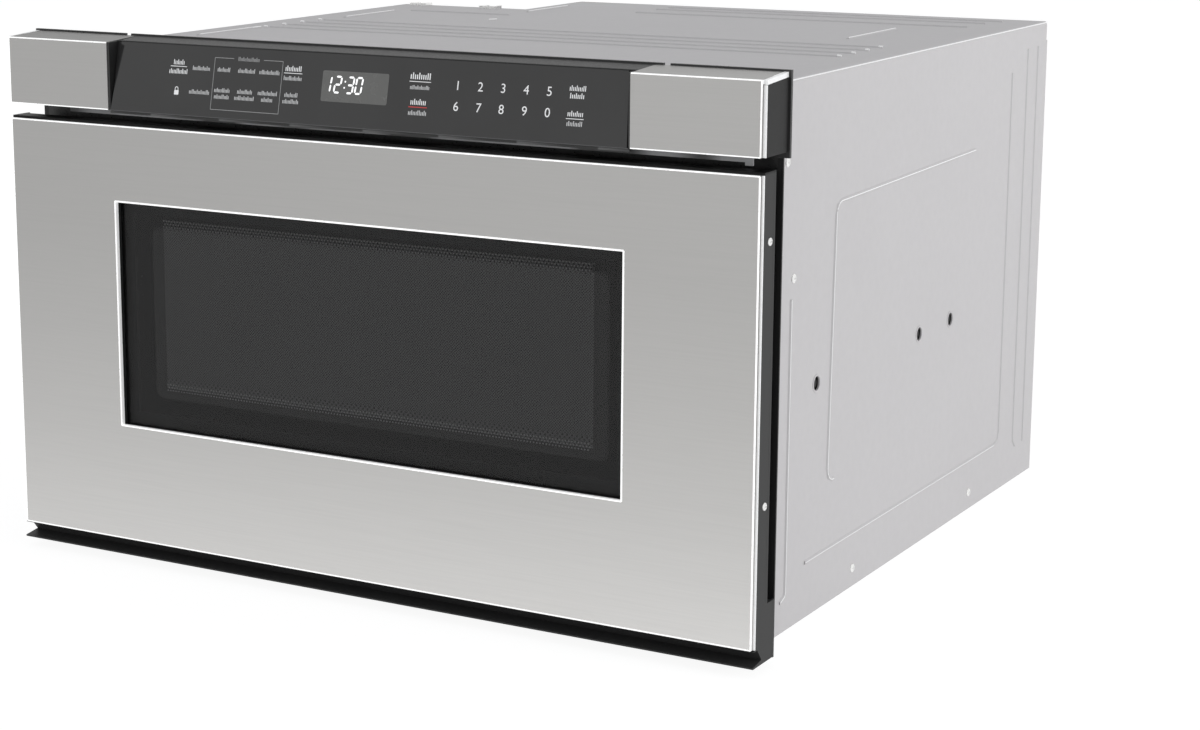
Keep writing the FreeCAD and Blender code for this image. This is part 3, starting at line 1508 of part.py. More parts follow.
def cavity_liner():
    """Fixed cavity: five walls, a front flange, a pressed dome for the stirrer, wall ribs and ports."""
    s = liner_sheet
    outside = block(-cavity_half - s, cavity_half + s, module_depth, cavity_back + s, liner_bottom, liner_top)
    inside = block(-cavity_half, cavity_half, module_depth - over, cavity_back, cavity_floor, cavity_top)
    rim = liner_flange
    flange = block(-cavity_half - rim, cavity_half + rim, module_depth, module_depth + s,
                   cavity_floor - rim, cavity_top + rim)
    dome, hollow = liner_dome()
    feed = bar_z(feed_radius, 16, liner_top, guide_low + over, 0, dome_centre)
    port = lamp_port_half
    cuts = [inside, hollow, feed, block(lamp_x - port, lamp_x + port, lamp_depth - port, lamp_depth + port,
                                        cavity_top - over, liner_top + over)]
    for column in range(liner_vent_count):
        x = cavity_half - liner_vent_place + liner_vent_pitch * column
        cuts.append(block(x, x + liner_vent_width, cavity_back - over, cavity_back + s + over,
                          cavity_top - liner_vent_drop, cavity_top - liner_vent_drop + liner_vent_height))
    ribs = []
    for drop in liner_rib_drops:
        ribs += both_sides(liner_rib(cavity_top - drop))
    save("cavity_liner", with_cuts(fused([outside, flange, dome] + ribs), cuts))


def liner_stand():
    """Folded stand that carries the rear of the cavity on the base plate."""
    half = cavity_half - stand_inset
    front = cavity_back - stand_setback
    back = front + stand_depth
    parts = [block(-half, half, front, front + stand_sheet, base_sheet, liner_bottom),
             block(-half, half, front, back, base_sheet, base_sheet + stand_sheet),
             block(-half, half, front, back, liner_bottom - stand_sheet, liner_bottom)]
    pitch = (2 * half - 2 * stand_window_margin + stand_window_gap) / stand_window_count
    windows = []
    for index in range(stand_window_count):
        x = -half + stand_window_margin + pitch * index
        windows.append(block(x, x + pitch - stand_window_gap, front - over, front + stand_sheet + over,
                             base_sheet + stand_window_rise, liner_bottom - stand_window_rise))
    save("liner_stand", with_cuts(fused(parts), windows))


def waveguide():
    """Rectangular duct from the magnetron over the cavity's dome."""
    s = liner_sheet
    duct = block(-guide_half, guide_half, guide_front, guide_back, guide_low, guide_high)
    hollow = block(-guide_half + s, guide_half - s, guide_front + s, guide_back - s, guide_low + s,
                   guide_high - s)
    below, floor = guide_low - over, guide_low + s + over
    feed = bar_z(feed_radius, 16, below, floor, 0, dome_centre)
    launch = bar_z(launch_radius, 12, below, floor, 0, magnetron_depth)
    shaft_hole = bar_z(stirrer_hole, 10, guide_high - s - over, guide_high + over, 0, dome_centre)
    save("waveguide", with_cuts(duct, [hollow, feed, launch, shaft_hole]))


def waveguide_cover():
    """Plate under the ceiling that keeps food splashes from the stirrer in its dome."""
    x, d = dome_width / 2 + cover_lap, dome_depth / 2 + cover_lap
    b = cover_bevel
    low = (-x + b, x - b, dome_centre - d + b, dome_centre + d - b, cavity_top - cover_thickness)
    high = (-x, x, dome_centre - d, dome_centre + d, cavity_top)
    save("waveguide_cover", frustum(low, high, "z"))


def stirrer_blade():
    """Three-armed stirrer in the dome with its shaft up to the motor."""
    level = cavity_top + stirrer_rise
    top = level + stirrer_sheet
    shaft = bar_z(stirrer_shaft_radius, 10, level, guide_high + stirrer_shaft_end, 0, dome_centre)
    hub = bar_z(stirrer_hub_radius, 12, level - stirrer_sheet, top + stirrer_sheet, 0, dome_centre)
    near, far = dome_centre - stirrer_arm_width / 2, dome_centre + stirrer_arm_width / 2
    arms = []
    for index in range(3):
        arm = block(0, stirrer_arm, near, far, level, top)
        lip = block(stirrer_arm / 2, stirrer_arm, near, near + stirrer_sheet, level, level + stirrer_lip)
        arm = arm.fuse(lip)
        arm.rotate(vec(0, dome_centre, 0), FreeCAD.Vector(0, 0, 1), 120 * index)
        arms.append(arm)
    save("stirrer_blade", fused([shaft, hub] + arms))


def stirrer_motor():
    """Flat synchronous motor on top of the waveguide, with two ears and a plug."""
    base, d = guide_high, dome_centre
    can = bar_z(stirrer_motor_radius, 20, base, base + stirrer_motor_height, 0, d)
    half = stirrer_ear_width / 2
    ears = block(-stirrer_ear, stirrer_ear, d - half, d + half, base, base + stirrer_ear_sheet)
    plug_front = d + stirrer_motor_radius - over
    plug = block(-plug_width / 2, plug_width / 2, plug_front, plug_front + plug_length, base + plug_rise,
                 base + plug_rise + plug_height)
    socket = bar_z(stirrer_shaft_radius + socket_clearance, 10, base - over, base + stirrer_socket, 0, d)
    save("stirrer_motor", fused([can, ears, plug]).cut(socket))


def magnetron():
    """Magnetron: yoke frame, anode tube with cooling fins, antenna up into the waveguide, filter box."""
    half, wall = magnetron_half, magnetron_wall
    front, back = magnetron_depth - magnetron_half_depth, magnetron_depth + magnetron_half_depth
    low, high = magnetron_low, guide_low
    yoke = block(-half, half, front, back, low, high)
    yoke = yoke.cut(block(-half - over, half + over, front + wall, back - wall, low + wall, high - wall))
    parts = [yoke, bar_z(anode_radius, 12, low, high, 0, magnetron_depth)]
    for index in range(fin_count):
        z = low + fin_start + fin_pitch * index
        parts.append(block(-half + fin_inset, half - fin_inset, front, back, z, z + fin_sheet))
    parts.append(bar_z(antenna_radius, 12, high - wall, high + antenna_rise, 0, magnetron_depth))
    parts.append(block(-filter_half, filter_half, front + filter_inset, back - filter_inset,
                       low - filter_height, low + wall))
    save("magnetron", fused(parts))


# ---------------------------------------------------------------- electrics in the rear compartment
def transformer():
    """High-voltage transformer: laminated core, two windings and its mounting plate."""
    x0, x1 = transformer_x0, transformer_x0 + transformer_width
    front, back = transformer_front, transformer_front + transformer_depth
    low = base_sheet
    plate_top = low + transformer_plate
    parts = [block(x0 - transformer_foot, x1 + transformer_foot, front + plate_inset, back - plate_inset,
                   low, plate_top),
             block(x0, x1, front + core_inset, back - core_inset, plate_top, low + transformer_height)]
    for z0, z1 in winding_heights:
        winding = block(x0 + winding_margin, x1 - winding_margin, front, back, low + z0, low + z1)
        upright = [e for e in winding.Edges if e.BoundBox.ZLength > over]
        parts.append(winding.makeChamfer(winding_chamfer, upright))
    save("hv_transformer", fused(parts))


def capacitor():
    """Oval capacitor can with a clamp strap and two terminals."""
    x1 = transformer_x0 - capacitor_gap
    x0 = x1 - capacitor_width
    front = cavity_back + capacitor_start
    back = front + capacitor_depth
    low, s = base_sheet, strap_sheet
    can = block(x0, x1, front, back, low, low + capacitor_height)
    can = can.makeChamfer(capacitor_chamfer, [e for e in can.Edges if e.BoundBox.ZLength > over])
    strap_top = low + strap_rise + strap_height
    near, far = front + strap_margin, back - strap_margin
    parts = [can, block(x0 - s, x1 + s, front - s, back + s, low + strap_rise, strap_top),
             block(x1, x1 + strap_foot, near, far, low, low + s),
             block(x1, x1 + s, near, far, low, strap_top)]
    middle = (front + back) / 2
    for x in (x0 + terminal_inset, x1 - terminal_inset):
        parts.append(block(x - terminal_width / 2, x + terminal_width / 2, middle - terminal_sheet / 2,
                           middle + terminal_sheet / 2, low + capacitor_height - over,
                           low + capacitor_height + terminal_length))
    save("hv_capacitor", fused(parts))


def filter_board():
    """Noise filter board on stand-offs beside the recess, with choke coil, fuse and capacitors."""
    wall = recess_side + back_sheet
    under = wall + filter_board_gap
    face = under + board_thickness
    start, end = recess_front + filter_board_start, recess_front + filter_board_start + filter_board_length
    low, high = filter_board_low, filter_board_low + filter_board_height
    parts = [block(under, face, start, end, low, high)]
    inset = post_inset
    for depth in (start + inset, end - inset):
        for z in (low + inset, high - inset):
            parts.append(bar_x(post_radius, 6, wall, face, depth, z))
    coil_depth, coil_z = start + coil_place, high - coil_drop
    coil = bar_x(coil_radius, 14, under, face + coil_width, coil_depth, coil_z)
    parts.append(coil.cut(bar_x(coil_bore, 10, face, face + coil_width + over, coil_depth, coil_z)))
    parts.append(block(under, face + fuse_height, end - fuse_place, end - fuse_place + fuse_width,
                       low + fuse_rise, low + fuse_rise + fuse_length))
    for index in range(2):
        z = low + film_rise + film_pitch * index
        parts.append(block(under, face + film_depth, start + film_place, start + film_place + film_length,
                           z, z + film_width))
    save("noise_filter_board", fused(parts))


def fan_housing():
    """Square fan frame on the rear panel with a round throat and four motor struts."""
    half = fan_half
    frame = block(fan_x - half, fan_x + half, fan_front, fan_back, fan_z - half, fan_z + half)
    throat = bar_y(fan_bore, 28, fan_front - over, fan_back + over, fan_x, fan_z)
    reach, across = fan_bore + over, strut_width / 2
    near = fan_back - strut_thickness
    struts = [block(fan_x - reach, fan_x + reach, near, fan_back, fan_z - across, fan_z + across),
              block(fan_x - across, fan_x + across, near, fan_back, fan_z - reach, fan_z + reach)]
    save("fan_housing", fused([frame.cut(throat)] + struts))


def fan_motor():
    """Fan motor on the struts with its shaft through the rotor's hub."""
    back = fan_back - strut_thickness
    can = bar_y(fan_motor_radius, 16, back - fan_motor_depth, back, fan_x, fan_z)
    shaft = bar_y(fan_shaft_radius, 10, fan_front + fan_shaft_start, back - fan_motor_depth, fan_x, fan_z)
    save("fan_motor", can.fuse(shaft).removeSplitter())


def fan_rotor():
    """Pitched blades on a hub that turns on the motor's shaft."""
    front = fan_front + rotor_start
    back = fan_back - strut_thickness - fan_motor_depth - running_gap
    pivot = vec(0, (front + back) / 2, 0)
    hub = bar_y(rotor_hub, 16, front, back, fan_x, fan_z)
    blades = []
    for index in range(blade_count):
        blade = block(-blade_half, blade_half, front + blade_inset, back - blade_inset,
                      rotor_hub - blade_root, rotor_radius)
        blade.rotate(pivot, FreeCAD.Vector(0, 0, 1), blade_pitch)
        blade.rotate(pivot, FreeCAD.Vector(0, 1, 0), 360 / blade_count * index)
        blade.translate(FreeCAD.Vector(fan_x, 0, fan_z))
        blades.append(blade)
    bore = bar_y(fan_shaft_radius + socket_clearance, 10, front - over, back + over, fan_x, fan_z)
    save("fan_rotor", fused([hub] + blades).cut(bore))


def air_duct():
    """Duct from the fan to the magnetron's fins, open towards both."""
    s = duct_wall
    x0, x1 = magnetron_half + duct_side_gap, fan_x + fan_half
    front, back = cavity_back + liner_sheet + duct_gap, fan_front
    low, high, near_top, far_low = magnetron_low, fan_z + fan_half, guide_low - duct_top_gap, fan_z - fan_half
    outline = ((x0, low), (x1, far_low), (x1, high), (x0 + duct_bend, high), (x0, near_top))
    inner = ((x0 - over, low + s), (x1 - s, far_low + s), (x1 - s, high - s), (x0 + duct_bend, high - s),
             (x0 - over, near_top - s))
    save("air_duct", prism_y(outline, front, back).cut(prism_y(inner, front + s, back + over)))


def cavity_lamp():
    """Lamp holder over the ceiling's port with a small bulb and two terminals."""
    base, top = liner_top, liner_top + lamp_height
    half, depth_half, wall = lamp_half, lamp_half_depth, lamp_wall
    shell = block(lamp_x - half, lamp_x + half, lamp_depth - depth_half, lamp_depth + depth_half, base, top)
    half, depth_half = half - wall, depth_half - wall
    hollow = block(lamp_x - half, lamp_x + half, lamp_depth - depth_half, lamp_depth + depth_half,
                   base - over, top - wall)
    parts = [shell.cut(hollow), bar_z(bulb_radius, 12, base + bulb_rise, top - wall, lamp_x, lamp_depth)]
    for x in (lamp_x - lamp_tab_place, lamp_x + lamp_tab_place):
        parts.append(block(x - lamp_tab_width / 2, x + lamp_tab_width / 2, lamp_depth - terminal_sheet / 2,
                           lamp_depth + terminal_sheet / 2, top - over, top + terminal_length))
    save("cavity_lamp", fused(parts))


def switch_bracket():
    """Folded bracket behind the front plate that carries two interlock switches."""
    s = switch_bracket_sheet
    low, high = latch_height - bracket_drop, latch_height - bracket_drop + bracket_height
    x1 = switch_x0
    plate = block(x1 - s, x1, module_depth, module_depth + bracket_length, low, high)
    foot = block(x1 - s - switch_bracket_foot, x1, module_depth, module_depth + s, low, high)
    return plate.fuse(foot).removeSplitter()


def interlock_switches():
    """Two sealed switches on each bracket, one over and one under the hook's path."""
    front, back = module_depth + switch_start, module_depth + switch_start + switch_length
    switches = []
    for low in (latch_height - switch_below - switch_height, latch_height + switch_above):
        case = block(switch_x0, switch_x0 + switch_width, front, back, low, low + switch_height)
        middle = low + switch_height / 2
        tab = block(switch_x0 + switch_tab_inset, switch_x0 + switch_tab_inset + terminal_width, back,
                    back + terminal_length, middle - terminal_sheet / 2, middle + terminal_sheet / 2)
        switches += both_sides(case.fuse(tab))
    return switches


def thermal_cutout():
    """Disc thermostat with its flange on the cavity's rear wall."""
    x, z = cutout_inset - cavity_half, cavity_top - cutout_drop
    wall = cavity_back + liner_sheet
    face = wall + cutout_height
    parts = [bar_y(cutout_radius, 14, wall, face, x, z),
             block(x - cutout_ear, x + cutout_ear, wall, wall + cutout_sheet, z - cutout_ear_width / 2,
                   z + cutout_ear_width / 2)]
    for place in (x - cutout_tab_place, x + cutout_tab_place):
        parts.append(block(place - terminal_width / 2, place + terminal_width / 2, face - over,
                           face + terminal_length, z - terminal_sheet / 2, z + terminal_sheet / 2))
    save("thermal_cutout", fused(parts))


def cord_gland():
    """Strain-relief gland in the recess wall: hexagon, neck, inner nut and an open bore."""
    outside, inside = recess_side, recess_side + back_sheet

    def hexagon(radius):
        turn = math.pi / 3
        return [(gland_depth + radius * math.cos(turn * k), gland_height + radius * math.sin(turn * k))
                for k in range(6)]

    cap_start = outside - gland_head_length - gland_cap_length
    parts = [prism_x(hexagon(gland_head), outside - gland_head_length, outside),
             bar_x(gland_neck - piece_gap, 12, outside, inside + gland_tail, gland_depth, gland_height),
             prism_x(hexagon(gland_nut), inside, inside + gland_nut_length),
             bar_x(gland_cap, 14, cap_start, outside - gland_head_length, gland_depth, gland_height)]
    bore = rod_x(gland_bore, cap_start - over, inside + gland_tail + over, gland_depth, gland_height)
    save("cord_gland", fused(parts).cut(bore))


# ---------------------------------------------------------------- output
def main():
    os.makedirs("parts", exist_ok=True)
    outer_wrap()
    base_plate()
    back_panel()
    front_plate()
    save("body_screws", *body_screws())
    save("recess_tabs", *recess_tabs())
    control_housing()
    touch_glass()
    trim = wing_trim()
    save("wing_trim_right", trim)
    save("wing_trim_left", mirrored(trim))
    display_module()
    control_board()
    drawer_skin()
    window_glass()
    drawer_frame()
    door_panel()
    choke_cover()
    inner_glass()
    save("frame_screws", *frame_screws())
    drawer_tub()
    ceramic_tray()
    save("latch_hooks", *latch_hooks())
    save("rails_outer", *both_sides(rail_outer()))
    middle = rail_middle()
    save("rail_middle_right", middle)
    save("rail_middle_left", mirrored(middle))
    save("rails_inner", *both_sides(rail_inner()))
    cages = rail_cages()
    save("rail_cages_right", *cages)
    save("rail_cages_left", *[mirrored(cage) for cage in cages])
    save("rail_arms", *both_sides(rail_arm()))
    save("rail_brackets", *both_sides(rail_bracket()))
    save("rail_screws", *rail_screws())
    cross_shaft()
    save("pinions", *both_sides(pinion()))
    drive_gear()
    motor_gear()
    save("shaft_bearings", *both_sides(shaft_bearing()))
    toothed = rack()
    save("rack_right", toothed)
    save("rack_left", mirrored(toothed))
    gearbox()
    drive_motor()
    cavity_liner()
    liner_stand()
    waveguide()
    waveguide_cover()
    stirrer_blade()
    stirrer_motor()
    magnetron()
    transformer()
    capacitor()
    filter_board()
    fan_housing()
    fan_motor()
    fan_rotor()
    air_duct()
    cavity_lamp()
    save("switch_brackets", *both_sides(switch_bracket()))
    save("interlock_switches", *interlock_switches())
    thermal_cutout()
    cord_gland()


main()
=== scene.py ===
import json
import math

import bmesh
import bpy
from mathutils import Matrix, Vector

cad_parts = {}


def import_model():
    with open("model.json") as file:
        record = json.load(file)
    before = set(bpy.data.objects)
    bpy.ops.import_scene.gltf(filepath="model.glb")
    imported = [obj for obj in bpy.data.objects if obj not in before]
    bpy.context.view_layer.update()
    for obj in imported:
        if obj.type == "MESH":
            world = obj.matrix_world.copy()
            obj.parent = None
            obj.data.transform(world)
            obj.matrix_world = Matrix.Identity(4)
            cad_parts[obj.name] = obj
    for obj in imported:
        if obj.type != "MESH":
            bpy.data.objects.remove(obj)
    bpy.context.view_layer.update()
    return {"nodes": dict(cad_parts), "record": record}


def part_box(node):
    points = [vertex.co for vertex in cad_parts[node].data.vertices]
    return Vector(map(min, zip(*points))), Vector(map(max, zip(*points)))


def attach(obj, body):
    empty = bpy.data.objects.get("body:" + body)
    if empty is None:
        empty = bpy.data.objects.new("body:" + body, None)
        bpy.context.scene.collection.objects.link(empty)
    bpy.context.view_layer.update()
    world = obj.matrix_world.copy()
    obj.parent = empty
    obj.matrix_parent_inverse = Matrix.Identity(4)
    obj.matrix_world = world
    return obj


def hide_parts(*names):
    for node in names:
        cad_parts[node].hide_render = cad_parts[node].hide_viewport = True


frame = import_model()

MM = 0.001

# The photograph's frame in pixels, and the camera solved for it.
PHOTO_WIDTH = 1200
PHOTO_HEIGHT = 730
FOCAL_PX = 2553.0
CENTRE_PX = (475.7, 325.3)
PITCH = math.radians(11.593)
YAW = math.radians(30.89)
ROLL = math.radians(-0.139)
CAMERA_PLACE = Vector((0.9364, -1.70465, 0.5442))
SENSOR = 36.0
CLIP_NEAR = 0.05
CLIP_FAR = 50.0


def mm(*values):
    """Millimetres as a tuple of metres."""
    return tuple(value * MM for value in values)


# ------------------------------------------------------------------ places taken from the frame
def corners(node):
    low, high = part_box(node)
    return Vector(low), Vector(high)


skin_low, skin_high = corners("drawer_skin")
glass_low, glass_high = corners("touch_glass")
pane_low, pane_high = corners("window_glass")
wing_low, wing_high = corners("wing_trim_right")
frame_low, frame_high = corners("drawer_frame")
plate_low, plate_high = corners("front_plate")
housing_floor = corners("control_housing")[0].z
door_face = corners("door_panel")[0].y

front = skin_low.y
WINDOW_LAP = 2.2 * MM
window_x = pane_high.x - WINDOW_LAP
window_z0 = pane_low.z + WINDOW_LAP
window_z1 = pane_high.z - WINDOW_LAP
GLASS_THICKNESS = 2.0 * MM
panel_lean = glass_high.y - GLASS_THICKNESS - glass_low.y
panel_rise = glass_high.z - glass_low.z
lean_angle = math.atan2(panel_lean, panel_rise)

# The part of the screen behind the window that has holes, and the rim of larger ones in it.
SCREEN_X = 173.7 * MM
SCREEN_Z = mm(131.0, 253.8)
SCREEN_RIM = 7.5 * MM


def behind(depth):
    """The y of a place so many millimetres behind the drawer's front."""
    return front + depth * MM


def on_panel(x, z, lift):
    """A point on the leaning panel face, lifted off it along the face's normal."""
    depth = glass_low.y + panel_lean * (z - glass_low.z) / panel_rise
    return Vector((x, depth - lift * math.cos(lean_angle), z + lift * math.sin(lean_angle)))


def upright(depth):
    """A place function like on_panel, for an upright face at one depth."""
    def place(x, z, lift):
        return Vector((x, depth - lift, z))
    return place


# ------------------------------------------------------------------ shader helpers
GRAIN_SPAN = (0.3, 0.7)
GRAIN_DETAIL = 4.0
GRAIN_STRENGTH = 0.35
ROUGHNESS_SWING = 0.06
FINE_GRAIN = 1800.0


def grey(level):
    return (level, level, level)


def shade(color, factor):
    return tuple(min(1.0, part * factor) for part in color)


def tones(color, contrast, span=GRAIN_SPAN):
    """Ramp stops that make a colour darker and lighter by the same share."""
    return tuple(zip(span, (shade(color, 1 - contrast), shade(color, 1 + contrast))))


def add_node(mat, kind, **values):
    """A new shader node; values go on its sockets, whose names have _ for each space."""
    node = mat.node_tree.nodes.new("ShaderNode" + kind)
    for socket, value in values.items():
        node.inputs[socket.replace("_", " ")].default_value = value
    return node


def link(mat, output, socket):
    mat.node_tree.links.new(output, socket)


def feed(mat, socket, output):
    link(mat, output, mat.node_tree.nodes["Principled BSDF"].inputs[socket])


def material(name, color, metallic, roughness, **sockets):
    mat = bpy.data.materials.new(name)
    mat.use_nodes = True
    shader = mat.node_tree.nodes["Principled BSDF"]
    values = {"Base Color": (*color, 1.0), "Metallic": metallic, "Roughness": roughness}
    values.update((socket.replace("_", " "), value) for socket, value in sockets.items())
    for socket, value in values.items():
        shader.inputs[socket].default_value = value
    return mat


def object_axes(mat):
    """X, Y and Z of the object's own coordinates, in metres."""
    parts = add_node(mat, "SeparateXYZ")
    link(mat, add_node(mat, "TexCoord").outputs["Object"], parts.inputs["Vector"])
    return parts.outputs


def maths(mat, operation, *values):
    """A math node whose inputs are numbers or outputs of other nodes."""
    node = add_node(mat, "Math")
    node.operation = operation
    for socket, value in zip(node.inputs, values):
        if isinstance(value, (int, float)):
            socket.default_value = value
        else:
            link(mat, value, socket)
    return node.outputs["Value"]


def noise(mat, scale, stretch=(1, 1, 1), detail=3.0, roughness=0.5):
    """A noise texture on the object's own coordinates, in metres; stretch multiplies each axis."""
    mapping = add_node(mat, "Mapping", Scale=stretch)
    texture = add_node(mat, "TexNoise", Scale=scale, Detail=detail, Roughness=roughness)
    link(mat, add_node(mat, "TexCoord").outputs["Object"], mapping.inputs["Vector"])
    link(mat, mapping.outputs["Vector"], texture.inputs["Vector"])
    return texture.outputs["Fac"]


def ramp(mat, source, stops):
    """Colour ramp over a factor; stops are (position, colour) pairs."""
    node = add_node(mat, "ValToRGB")
    elements = node.color_ramp.elements
    while len(elements) < len(stops):
        elements.new(0.5)
    for element, (position, color) in zip(elements, stops):
        element.position = position
        element.color = (*color, 1.0)
    link(mat, source, node.inputs["Fac"])
    return node.outputs["Color"]


def spread(mat, source, low, high, start=GRAIN_SPAN[0], stop=GRAIN_SPAN[1]):
    """Map a factor's start..stop to low..high."""
    node = add_node(mat, "MapRange", From_Min=start, From_Max=stop, To_Min=low, To_Max=high)
    link(mat, source, node.inputs["Value"])
    return node.outputs["Result"]


def bump(mat, source, strength, distance):
    node = add_node(mat, "Bump", Strength=strength, Distance=distance)
    link(mat, source, node.inputs["Height"])
    feed(mat, "Normal", node.outputs["Normal"])


def fade(mat, axis, low, high, stops):
    """Grey factor along one of the object's own axes; stops are (position, factor) from low to high."""
    along = spread(mat, object_axes(mat)[axis], 0.0, 1.0, low, high)
    return ramp(mat, along, [(position, grey(factor)) for position, factor in stops])


def blend(mat, kind, factor, first, second):
    """Two colours, mixed or multiplied; the factor and the first may be plain values."""
    mix = add_node(mat, "Mix")
    mix.data_type = "RGBA"
    mix.blend_type = kind
    for socket, value in (("Factor", factor), ("A", first), ("B", second)):
        if isinstance(value, (float, tuple)):
            mix.inputs[socket].default_value = value
        else:
            link(mat, value, mix.inputs[socket])
    return mix.outputs["Result"]


# ------------------------------------------------------------------ kinds of look
def varied(name, color, metallic=0.0, roughness=0.5, scale=500.0, contrast=0.08, relief=0.0,
           stretch=(1, 1, 1), **sockets):
    """Material whose colour, roughness and relief all vary with one noise."""
    mat = material(name, color, metallic, roughness, **sockets)
    grain = noise(mat, scale, stretch, detail=GRAIN_DETAIL)
    feed(mat, "Base Color", ramp(mat, grain, tones(color, contrast)))
    feed(mat, "Roughness", spread(mat, grain, roughness - ROUGHNESS_SWING, roughness + ROUGHNESS_SWING))
    if relief:
        bump(mat, grain, GRAIN_STRENGTH, relief)
    return mat


def moulded(name, color, roughness, **sockets):
    """Moulded plastic with a fine spark-eroded grain."""
    return varied(name, color, 0.0, roughness, FINE_GRAIN, contrast=0.12, relief=0.06 * MM, **sockets)


def frame_moulding_painted_top(name, color, roughness, **sockets):
    """The drawer frame's moulding, with painted shade that darkens the level face closing its top."""
    mat = moulded(name, color, roughness, **sockets)
    tone = ramp(mat, noise(mat, FINE_GRAIN, detail=GRAIN_DETAIL), tones(color, 1 / 9))
    # Painted shade: the top face, in the gap under the panel, is darkened to about an eighth of its tone.
    top = fade(mat, "Z", 0.31, 0.3226, ((0.0, 1.0), (0.86, 1.0), (0.95, 0.12), (1.0, 0.12)))
    feed(mat, "Base Color", blend(mat, "MULTIPLY", 1.0, tone, top))
    return mat


def brushed(name, color, metallic, roughness, contrast, fades=()):
    """Steel with fine level brushing, and painted shade that darkens its tone along the given axes."""
    mat = material(name, color, metallic, roughness)
    lines = noise(mat, 14.0, (1.0, 40.0, 55.0), detail=5.0, roughness=0.62)
    tone = ramp(mat, lines, tones(color, contrast, (0.32, 0.68)))
    for axis, low, high, stops in fades:
        tone = blend(mat, "MULTIPLY", 1.0, tone, fade(mat, axis, low, high, stops))
    feed(mat, "Base Color", tone)
    feed(mat, "Roughness", spread(mat, lines, roughness - 0.05, roughness + 0.07))
    bump(mat, lines, 0.12, 0.08 * MM)
    return mat


def galvanised(name, color, metallic, roughness):
    """Zinc-coated sheet: soft spangle, cloudiness and a fine satin grain."""
    mat = material(name, color, metallic, roughness)
    cells = add_node(mat, "TexVoronoi", Scale=140.0)
    link(mat, add_node(mat, "TexCoord").outputs["Object"], cells.inputs["Vector"])
    spangle = ramp(mat, cells.outputs["Distance"], tones(color, 0.015, (0.0, 1.0)))
    clouds = ramp(mat, noise(mat, 5.0), tuple(zip(GRAIN_SPAN, (grey(0.97), grey(1.0)))))
    feed(mat, "Base Color", blend(mat, "MULTIPLY", 1.0, spangle, clouds))
    fine = noise(mat, 900.0, detail=2.0)
    feed(mat, "Roughness", spread(mat, fine, roughness - 0.04, roughness + 0.05))
    bump(mat, fine, 0.08, 0.05 * MM)
    return mat


def glass_pane(name, color, alpha, roughness):
    """Dark pane: glossy, partly see-through, with a faint unevenness."""
    mat = material(name, color, 0.0, roughness, Alpha=alpha, IOR=1.5)
    haze = noise(mat, 22.0, detail=2.0)
    feed(mat, "Roughness", spread(mat, haze, roughness - 0.01, roughness + 0.02))
    feed(mat, "Base Color", ramp(mat, haze, tones(color, 0.1)))
    return mat


def screen_sheet(name):
    """Black sheet with fine staggered holes, and larger ones along its top and bottom."""
    sheet, web, hole = 0.05, grey(0.125), grey(0.012)
    mat = material(name, grey(sheet), 0.0, 0.4)
    axes = object_axes(mat)
    x, z = axes["X"], axes["Z"]

    def dots(pitch, radius):
        """1 inside the holes of a staggered grid."""
        squares = []
        for axis in (maths(mat, "ADD", x, z), maths(mat, "SUBTRACT", x, z)):
            cell = maths(mat, "FRACT", maths(mat, "DIVIDE", axis, pitch * math.sqrt(2)))
            squares.append(maths(mat, "POWER", maths(mat, "SUBTRACT", cell, 0.5), 2))
        return maths(mat, "LESS_THAN", maths(mat, "ADD", *squares), (radius / pitch) ** 2)

    def band(axis, low, high):
        """1 between two places along an axis."""
        above = maths(mat, "GREATER_THAN", axis, low)
        return maths(mat, "MULTIPLY", above, maths(mat, "LESS_THAN", axis, high))

    inside = maths(mat, "MULTIPLY", band(x, -SCREEN_X, SCREEN_X), band(z, *SCREEN_Z))
    middle = band(z, SCREEN_Z[0] + SCREEN_RIM, SCREEN_Z[1] - SCREEN_RIM)
    fine = maths(mat, "MULTIPLY", dots(*mm(1.45, 0.46)), middle)
    coarse = maths(mat, "MULTIPLY", dots(*mm(2.6, 0.8)), maths(mat, "SUBTRACT", 1.0, middle))
    holes = maths(mat, "MULTIPLY", maths(mat, "ADD", fine, coarse), inside)
    pattern = ramp(mat, holes, ((0.0, web), (1.0, hole)))
    feed(mat, "Base Color", blend(mat, "MIX", inside, (*hole, 1.0), pattern))
    bump(mat, holes, -0.4, 0.2 * MM)
    return mat


def painted_sheen_ledge(name):
    """Black ledge with a painted grey sheen that starts sharply and dies away every few centimetres."""
    period, offset = 59.0 * MM, 9.876
    mat = material(name, grey(0.02), 0.0, 0.45)
    part = maths(mat, "FRACT", maths(mat, "MULTIPLY_ADD", object_axes(mat)["X"], 1.0 / period, offset))
    stops = ((0.0, 0.1), (0.3, 0.045), (0.6, 0.008), (0.985, 0.006), (1.0, 0.1))
    feed(mat, "Base Color", ramp(mat, part, [(position, grey(level)) for position, level in stops]))
    feed(mat, "Roughness", spread(mat, noise(mat, 600.0), 0.4, 0.5))
    return mat


def painted_reflection_band(name):
    """Pale satin strip with painted reflections: its tone comes and goes along its length."""
    mat = material(name, grey(0.2), 0.0, 0.35)
    tone = noise(mat, 13.0, (1.0, 0.0, 0.0), detail=1.0)
    feed(mat, "Base Color", ramp(mat, tone, ((0.44, grey(0.05)), (0.52, (0.34, 0.34, 0.345)))))
    feed(mat, "Roughness", spread(mat, noise(mat, 600.0), 0.3, 0.45))
    return mat


# ------------------------------------------------------------------ looks
STEEL = (0.685, 0.676, 0.661)
FILM = (0.12, 0.12, 0.115)
WHITE = (1.0, 1.0, 1.0, 1.0)
